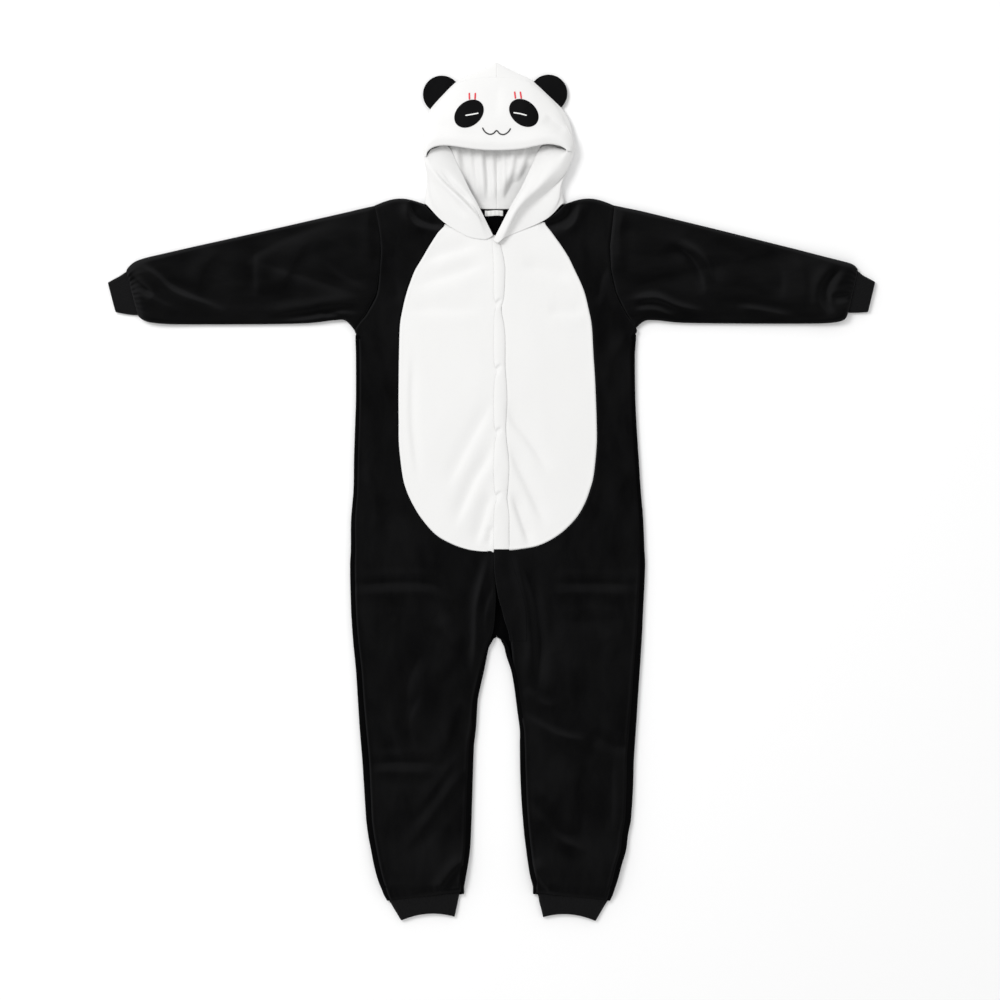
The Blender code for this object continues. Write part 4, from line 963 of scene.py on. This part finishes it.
# ribs from the neck up to the seam under the face panel, from the centre back round to the opening
hoodTable = {
    "right": [
        [(9.5, 580, 0), (9.5, 650, 0), (9.5, 735, 0), (9.5, 820, 0), (10, 879.5, 8), (9.5, 851, 19)],
        [(44, 581, 0), (46, 650, 0), (47, 730, 0), (46, 808, 0), (43, 861, 7), (43, 849, 18)],
        [(93, 586, 0), (95, 645, 0), (97, 705, 0), (97, 768, 0), (88, 836, 5), (77, 839, 17)],
        [(134, 590, 0), (130, 632, 0), (134, 675, 0), (146, 725, 0), (134, 795, 4), (112, 812, 16)],
        [(148, 592, 6), (142, 620, 7), (143, 655, 8), (161, 695, 9), (159, 758, 10), (137, 784, 18)],
        [(141, 588, 13), (141, 615, 15), (143, 646, 17), (160, 678, 19), (168, 716, 20), (153, 752, 23)],
        [(109, 558, 15), (128, 590, 19), (138, 625, 21), (154, 660, 22), (168, 695, 24), (166, 720, 27)],
        [(36, 526, 15.6), (62, 568, 18), (92, 598, 19), (120, 622, 21), (149, 652, 25), (163, 698, 30)],
        [(24, 520, 26), (51, 576, 36), (79, 609, 40), (107, 636, 41), (136, 668, 38), (155, 700, 34)],
        [(12, 511, 27), (42, 578, 35), (70, 622, 39), (96, 657, 38), (121, 687, 33), (152, 700.5, 29)],
        [(3, 516, 26), (34, 578, 28), (61, 626, 29), (81, 668, 26), (104, 709, 20), (146, 703, 23)],
    ],
    "left": [
        [(9.5, 580, 0), (9.5, 650, 0), (9.5, 735, 0), (9.5, 820, 0), (10, 879.5, 8), (9.5, 851, 19)],
        [(-27, 581, 0), (-29, 650, 0), (-30, 730, 0), (-29, 808, 0), (-26, 861, 7), (-25, 849, 18)],
        [(-78, 586, 0), (-80, 645, 0), (-82, 705, 0), (-82, 768, 0), (-74, 836, 5), (-66, 840, 17)],
        [(-122, 589, 0), (-119, 632, 0), (-122, 680, 0), (-127, 730, 0), (-118, 795, 4), (-99, 812, 16)],
        [(-138, 591, 6), (-133, 625, 7), (-131, 662, 8), (-138, 705, 9), (-136, 762, 10), (-120, 783, 18)],
        [(-132, 587, 13), (-131, 618, 15), (-133, 652, 17), (-139, 688, 19), (-141, 722, 20),
            (-131, 752, 22)],
        [(-100, 554, 15), (-116, 592, 21), (-126, 630, 24), (-135, 664, 26), (-141, 694, 27),
            (-138, 720, 26)],
        [(-52, 525, 15.6), (-76, 568, 23), (-99, 605, 27), (-119, 640, 30), (-134, 670, 31),
            (-139.5, 697, 30)],
        [(-18, 518, 17), (-37, 570, 31), (-66, 604, 35), (-96, 640, 36), (-119, 664, 35), (-135, 687, 32)],
        [(-5, 521, 17), (-31, 578, 28), (-55, 614, 30), (-80, 652, 29), (-105, 684, 29), (-131, 692, 29)],
        [(2, 526, 17), (-27, 586, 22), (-46, 621, 22), (-67, 664, 21), (-91, 709, 21), (-125, 702, 26)],
    ],
}
hoodFolds = {  # soft folds in the back of the hood, which stand up from the table, then those of the front
    "back": [
        (9.0, 9, [(-78, 735), (-70, 668), (-61, 612)]), (6.0, 6, [(-50, 735), (-42, 660), (-34, 600)]),
        (10.0, 7, [(-27, 735), (-20, 655), (-17, 592)]), (7.0, 6, [(-3, 735), (2, 650), (4, 585)]),
        (6.0, 6, [(22, 735), (24, 655), (20, 592)]), (11.0, 8, [(46, 735), (38, 662), (20, 606)]),
        (11.0, 9, [(72, 735), (62, 678), (44, 630)]), (9.0, 9, [(102, 735), (92, 690), (80, 656)]),
    ],
    "left": [
        (-6.0, 4.5, [(-16, 556), (-55, 600), (-92, 634), (-122, 668)]),
        (-3.6, 4.5, [(-40, 588), (-74, 622), (-106, 664)]),
        (-2.0, 7, [(-50, 560), (-82, 600), (-104, 640)]),
    ],
    "right": [(-1.8, 8, [(120, 690), (100, 650), (70, 606)])],
}
faceTable = {
    "rim": [  # the turned edge of the opening, left to right
        (-135, 687.5, 33), (-133, 700, 37), (-122, 710, 41), (-102, 714.5, 43), (-76, 713, 45),
        (-35, 707, 46), (9, 704.5, 46.5), (57, 707, 46.5), (92, 713.5, 46), (117, 717, 44), (139, 713, 41),
        (154, 700.5, 35.5),
    ],
    "folds": [
        (-4.0, 7, [(108, 772), (130, 756), (154, 738)]), (2.0, 10, [(-100, 745), (-50, 732), (10, 728)]),
        (-2.0, 12, [(10, 838), (8, 800), (4, 764)]),
    ],
}


def hoodGrid(side, around=150, up=150):
    table = np.array(hoodTable[side], float)  # ribs, control points, xyz
    ribs = curveThrough(table, np.linspace(0, len(table) - 1, around))
    # the control points of each rib are read at even steps, so every rib is a smooth curve through its six
    # points
    grid = curveThrough(ribs.transpose(1, 0, 2), np.linspace(0, table.shape[1] - 1, up))
    grid = grid.transpose(1, 0, 2).copy()
    x, y = grid[..., 0], grid[..., 1]
    share = np.linspace(0, 1, around)[:, None]
    onBack = 1 - ease(share, 0.24, 0.36)
    height = np.linspace(0, 1, up)[None]
    rise = np.clip(foldSum(x, y, hoodFolds["back"]), 0, None)
    grid[..., 2] += rise * onBack * ease(height, 0.0, 0.1) * (1 - ease(height, 0.62, 0.78))
    grid[..., 2] += 9.0 * onBack * ease(y, 592, 680) * (1 - ease(y, 735, 790))
    onFront = ease(share, 0.55, 0.68)
    grid[..., 2] += foldSum(x, y, hoodFolds[side]) * onFront
    grid[..., 2] = np.maximum(grid[..., 2], 0.0)
    return grid


def addHood(side, grid):
    out = facing(grid)
    sign = 1 if side == "right" else -1
    if out[4, 40, 2] > 0:
        out = -out
    out[0, :, 0] = 0
    out = unit(out)
    grid = grid.copy()
    grid[0, :, 0] += 0.2 * sign
    piece = wall("hood_" + side, grid, out, 2.0, whiteFleece, ["hood_" + side[0]])
    print("hood", side, "area", round(areaOf(grid), 4))
    return piece


def faceGrid(hoods):
    # Straight in plan from the seam to the rim, and rising on a quarter sine, then rolled under at the rim
    covered = 0.79  # share of the hood's ribs, from the centre seam on, that the panel is sewn over
    seams = []
    for side in ("left", "right"):
        top = hoods[side][:, -1]
        count = int(covered * len(top))
        seams.append(top[:count])
    seam = np.concatenate([seams[0][:0:-1], seams[1]])
    run = np.r_[0, np.cumsum(np.linalg.norm(np.diff(seam, axis=0), axis=1))]
    columns = 150
    seam = np.stack([np.interp(np.linspace(0, run[-1], columns), run, seam[:, k]) for k in range(3)], 1)
    rim = curveThrough(faceTable["rim"], np.linspace(0, len(faceTable["rim"]) - 1, columns))
    seam = seam + unit(rim - seam) * (1, 1, 0) * 0.15
    share = (1 - np.cos(np.linspace(0, 1, 76) * math.pi / 2)) ** 0.8
    rise = np.sin(share * math.pi / 2) ** 0.82
    grid = seam[None] + (rim - seam)[None] * share[:, None, None]
    grid[..., 2] = seam[None, :, 2] + (rim - seam)[None, :, 2] * rise[:, None]
    # fuller over the brow, and a soft roll just above the rim
    away = np.linalg.norm((grid - rim[None])[..., :2], axis=2)
    grid[..., 2] += 3.0 * np.exp(-((away - 12) / 12) ** 2) - 1.6 * np.exp(-((away - 36) / 12) ** 2)
    grid[..., 2] -= 0.5 * np.exp(-(np.linalg.norm((grid - seam[None])[..., :2], axis=2) / 2.4) ** 2)
    grid[..., 2] += foldSum(grid[..., 0], grid[..., 1], faceTable["folds"])
    last, inward = grid[-1], unit((rim - seam) * (1, 1, 0))
    roll = []
    side = np.linspace(0, 1, columns)
    # the roll dies away at the corners
    radius = (0.8 + 3.8 * ease(side, 0, 0.11) * ease(1 - side, 0, 0.11))[:, None]
    for angle in np.radians((25, 50, 80, 110, 140, 165, 180)):
        down = np.array([0, 0, 1]) * radius * (1 - math.cos(angle))
        roll.append(last + inward * radius * math.sin(angle) - down)
    for tuck in (1.0, 2.2, 3.6):
        roll.append(roll[6] - inward * radius * tuck)
    return np.concatenate([grid, np.array(roll)]), len(grid)


def addFace(hoods):
    grid, flatRows = faceGrid(hoods)
    out = facing(grid)
    if out[30, 75, 2] < 0:
        out = -out
    piece = wall("hood_face_panel", grid, out, 2.0, whiteFleece, ["hood_face"])
    print("face area", round(areaOf(grid), 4))
    return piece, grid[:flatRows]


def heightOn(grid, x, y):
    # Height of a surface at x, y: the mean of its points' heights, weighted by a narrow bell curve of the
    # distance
    p = grid.reshape(-1, 3)
    z = np.empty(x.size)
    flat = np.column_stack([x.ravel(), y.ravel()])
    for part in np.array_split(np.arange(len(flat)), max(1, len(flat) // 300)):
        d = ((flat[part, None] - p[None, :, :2]) ** 2).sum(2)
        w = np.exp(-(d - d.min(1, keepdims=True)) / (2 * 2.4**2))
        z[part] = (w * p[None, :, 2]).sum(1) / w.sum(1)
    return z.reshape(x.shape)


def discGrid(count):
    # A square grid drawn out into a unit disc
    a, b = np.meshgrid(np.linspace(-1, 1, count), np.linspace(-1, 1, count), indexing="ij")
    return a * np.sqrt(1 - b * b / 2), b * np.sqrt(1 - a * a / 2)


features = {
    "eyes": {"left": (-47, 775.5), "right": (65.5, 777)},
    "eyeHalf": (33.5, 25.0), "eyeTilt": 40.0, "patchRise": 1.5,
    "lines": {"left": [(-54.5, 771.8), (-41, 774.0), (-27.3, 776.6)],
              "right": [(44, 777.6), (58, 775.4), (71.5, 771.8)]},
    "lashes": [[(-46.6, 818.5), (-46.0, 804)], [(-34.0, 818.5), (-34.8, 804)],
               [(46.4, 821), (48.4, 806)], [(58.0, 821), (60.4, 806)]],
    "mouth": [(-19.5, 747), (-16, 740.5), (-10.5, 735.5), (-4, 733.2), (3, 735), (9.6, 740.6), (16, 734.6),
              (22.5, 732.6), (29, 734.6), (34.5, 739.2), (38.5, 745.6)],
}


def addPatch(side, face):
    cx, cy = features["eyes"][side]
    tilt = math.radians(features["eyeTilt"]) * (1 if side == "left" else -1)
    a, b = discGrid(44)
    u, v = a * features["eyeHalf"][0], b * features["eyeHalf"][1]
    x, y = cx + u * math.cos(tilt) - v * math.sin(tilt), cy + u * math.sin(tilt) + v * math.cos(tilt)
    radius = np.hypot(a, b)
    edge = np.clip((1 - radius) * 28, 0, 4)  # distance in from the edge, up to 4 mm
    rise = features["patchRise"] * (0.35 + 0.65 * np.sqrt(1 - (1 - edge / 4) ** 2))
    rise = rise - 0.5 * np.exp(-((edge - 2.2) / 0.5) ** 2)  # the line of stitching round it
    grid = np.dstack([x, y, heightOn(face, x, y) + rise])
    piece = wall("eye_patch_" + side, grid, facing(grid, (0, 0, 1)), 1.2, patchFleece,
                 ["eye_patch_" + side[0]])
    return piece


def addStitching(name, path, width, face, lift, finish, nodes):
    # A low arch of threads carried along a path on the face, with rounded ends
    at = rowsEvery(np.array(path, float), 0.7)
    line = curveThrough(path, at)
    way = unit(np.gradient(line, axis=0))
    across = np.column_stack([-way[:, 1], way[:, 0]])
    s = np.linspace(-1, 1, 9)
    run = np.linspace(0, 1, len(line))
    total = np.linalg.norm(np.diff(line, axis=0), axis=1).sum()
    fromEnd = np.minimum(run, 1 - run) * total
    half = width / 2 * np.sqrt(np.clip(1 - np.clip(1 - fromEnd / (width / 2), 0, 1) ** 2, 0.06, 1))
    x = line[:, None, 0] + across[:, None, 0] * half[:, None] * s
    y = line[:, None, 1] + across[:, None, 1] * half[:, None] * s
    z = heightOn(face, x, y) + lift + 0.75 * np.sqrt(1 - 0.96 * s**2)[None] * (half / width * 2)[:, None]
    grid = np.dstack([x, y, z])
    return wall(name, grid, facing(grid, (0, 0, 1)), 0.5, finish, nodes)


ears = {
    "radius": 38.5,
    "full": 10.0,  # greatest thickness, where the filling is
    "rimThick": 0.9,  # half thickness at the rim seam
    "stitchIn": 3.2,  # how far in from the rim the line of stitching is
    "height": 8.6,  # of the middle of the foot above the table
    "left": {"centre": (-103, 815), "chord": [(-127, 779), (-68, 842)]},
    "right": {"centre": (116, 817), "chord": [(81, 842), (143, 781)]},
}


def addEar(side):
    radius, rimThick = ears["radius"], ears["rimThick"]
    centre = np.array(ears[side]["centre"], float)
    low, high = np.array(ears[side]["chord"], float)
    way = unit(high - low)
    outward = np.array([-way[1], way[0]])
    depth = float((centre - low) @ outward)
    foot = centre - outward * depth
    half = math.sqrt(radius**2 - depth**2)
    t = np.linspace(-1, 1, 72)
    spread = math.pi - math.acos(depth / radius)
    base = foot + way * half * t[:, None] - outward * 6.0
    rim = centre + radius * (way * np.sin(t * spread)[:, None] + outward * np.cos(t * spread)[:, None])
    reach = np.sin(np.linspace(0, 1, 40) * math.pi / 2)
    plan = base[None] + (rim - base)[None] * reach[:, None, None]
    inset = np.clip(1 - np.linalg.norm(plan - centre, axis=2) / radius, 0, 1)
    away = (plan - foot) @ outward
    middle = ears["height"] - 2.4 * away / (radius + depth)
    # lightly filled: the two rounds part as the square root of the distance in from the rim seam
    thick = rimThick + (ears["full"] / 2 - rimThick) * np.sqrt(inset) * ease(away, -14, 22)
    thick = thick - 0.8 * np.exp(-((inset * radius - ears["stitchIn"]) / 1.3) ** 2) * (inset > 0)
    grid = np.dstack([plan, middle + thick])
    under = np.dstack([plan, middle - thick])
    # both rounds in one piece, joined round the rim: the upper one, then the lower one back again
    grid = np.concatenate([grid, under[::-1]])
    out = facing(grid)
    if out[10, 36, 2] < 0:
        out = -out
    piece = skin("ear_" + side, grid, out, patchFleece, ["ear_" + side[0]])
    return piece


label = {"left": -14.5, "right": 22.5, "top": 577, "bottom": 566}


def addLabel():
    x = np.linspace(label["left"], label["right"], 40)[None] + np.zeros((16, 1))
    y = np.linspace(label["top"], label["bottom"], 16)[:, None] + 0.6 * np.sin(x / 6)
    z = 2.9 + 0.5 * np.sin(x / 7 + 0.4) + 0.25 * np.sin(y / 3)
    grid = np.dstack([x, y, z])
    piece = wall("neck_label_ribbon", grid, facing(grid, (0, 0, 1)), 0.4, labelSatin, ["neck_label"])
    return piece


for side in ("left", "right"):
    piece, settings = addBack(side)
    piece, settings = addFront(side)
    piece, settings = addBelly(side)
    piece = addSleeve(side)
print("body and sleeves laid")

bandShape = {"lift": 2.4, "puff": 1.8, "folds": flyFolds, "sinks": False, "seam": 0.4}
footShape = {"lift": 2.2, "puff": 1.0, "folds": [], "sinks": True, "seam": 0.0}
piece = addFly("fly_band", flyRows, whiteFleece, "fly_band_white", bandShape)
piece = addFly("fly_foot", flyFoot, blackFleece, "fly_band_black", footShape)
for kind in cuffs:
    addCuff(kind, "left")
    addCuff(kind, "right")
print("fly and cuffs sewn on")

hoods = {side: hoodGrid(side) for side in ("left", "right")}
for side in ("left", "right"):
    piece = addHood(side, hoods[side])
facePiece, faceTop = addFace(hoods)
for side in ("left", "right"):
    addPatch(side, faceTop)
    addStitching("eye_stitch_" + side, features["lines"][side], 2.7, faceTop, 1.7, whiteThread,
                 ["eye_line_" + side[0]])
    addEar(side)
for place, path, node in zip(("outer_left", "inner_left", "inner_right", "outer_right"), features["lashes"],
                             ("lash_outer_l", "lash_inner_l", "lash_inner_r", "lash_outer_r")):
    addStitching("lash_stitch_" + place, path, 3.4, faceTop, 0.4, redThread, [node])
addStitching("mouth_stitch", features["mouth"], 2.8, faceTop, 0.4, blackThread, ["mouth"])
addLabel()
print("hood and face finished")


# Table, light and camera

studio = {
    "tableTone": 0.885,
    "ambient": 0.86,  # strength of the white room
    "key": 150.0,  # watts of the large soft light, up and to the left
    "keySize": 2.2,
    "cameraHeight": 4.84,
    "lens": 85.0,
}

table = bpy.data.meshes.new("tableTop")
reach, below = 12.0, -0.0004
corners = [(-reach, -reach, below), (reach, -reach, below), (reach, reach, below), (-reach, reach, below)]
table.from_pydata(corners, [], [(0, 1, 2, 3)])
tableTop = bpy.data.objects.new("tableTop", table)
bpy.context.scene.collection.objects.link(tableTop)
paper = bpy.data.materials.new("palePaper")
paper.use_nodes = True
tone = studio["tableTone"]
paper.node_tree.nodes["Principled BSDF"].inputs["Base Color"].default_value = (tone, tone, tone, 1)
paper.node_tree.nodes["Principled BSDF"].inputs["Roughness"].default_value = 0.9
table.materials.append(paper)

world = bpy.data.worlds.new("whiteRoom")
bpy.context.scene.world = world
world.use_nodes = True
world.node_tree.nodes["Background"].inputs["Color"].default_value = (1, 1, 1, 1)
world.node_tree.nodes["Background"].inputs["Strength"].default_value = studio["ambient"]


def addLight(name, place, aim, size, power):
    light = bpy.data.lights.new(name, "AREA")
    light.shape, light.size, light.energy = "DISK", size, power
    lamp = bpy.data.objects.new(name, light)
    lamp.location = place
    away = np.array(place) - np.array(aim)
    tilt = math.atan2(math.hypot(away[0], away[1]), away[2])
    lamp.rotation_euler = (tilt, 0, math.atan2(away[0], -away[1]))
    bpy.context.scene.collection.objects.link(lamp)


addLight("keyLight", (-2.8, 2.4, 4.3), (0, 0, 0), studio["keySize"], studio["key"])

cameraData = bpy.data.cameras.new("camera")
cameraData.lens, cameraData.sensor_width, cameraData.clip_end = studio["lens"], 36.0, 50.0
camera = bpy.data.objects.new("camera", cameraData)
camera.location = (0.0164, -0.0164, studio["cameraHeight"])
bpy.context.scene.collection.objects.link(camera)
bpy.context.scene.camera = camera
bpy.context.scene.view_settings.view_transform = "Standard"
print("studio lit")
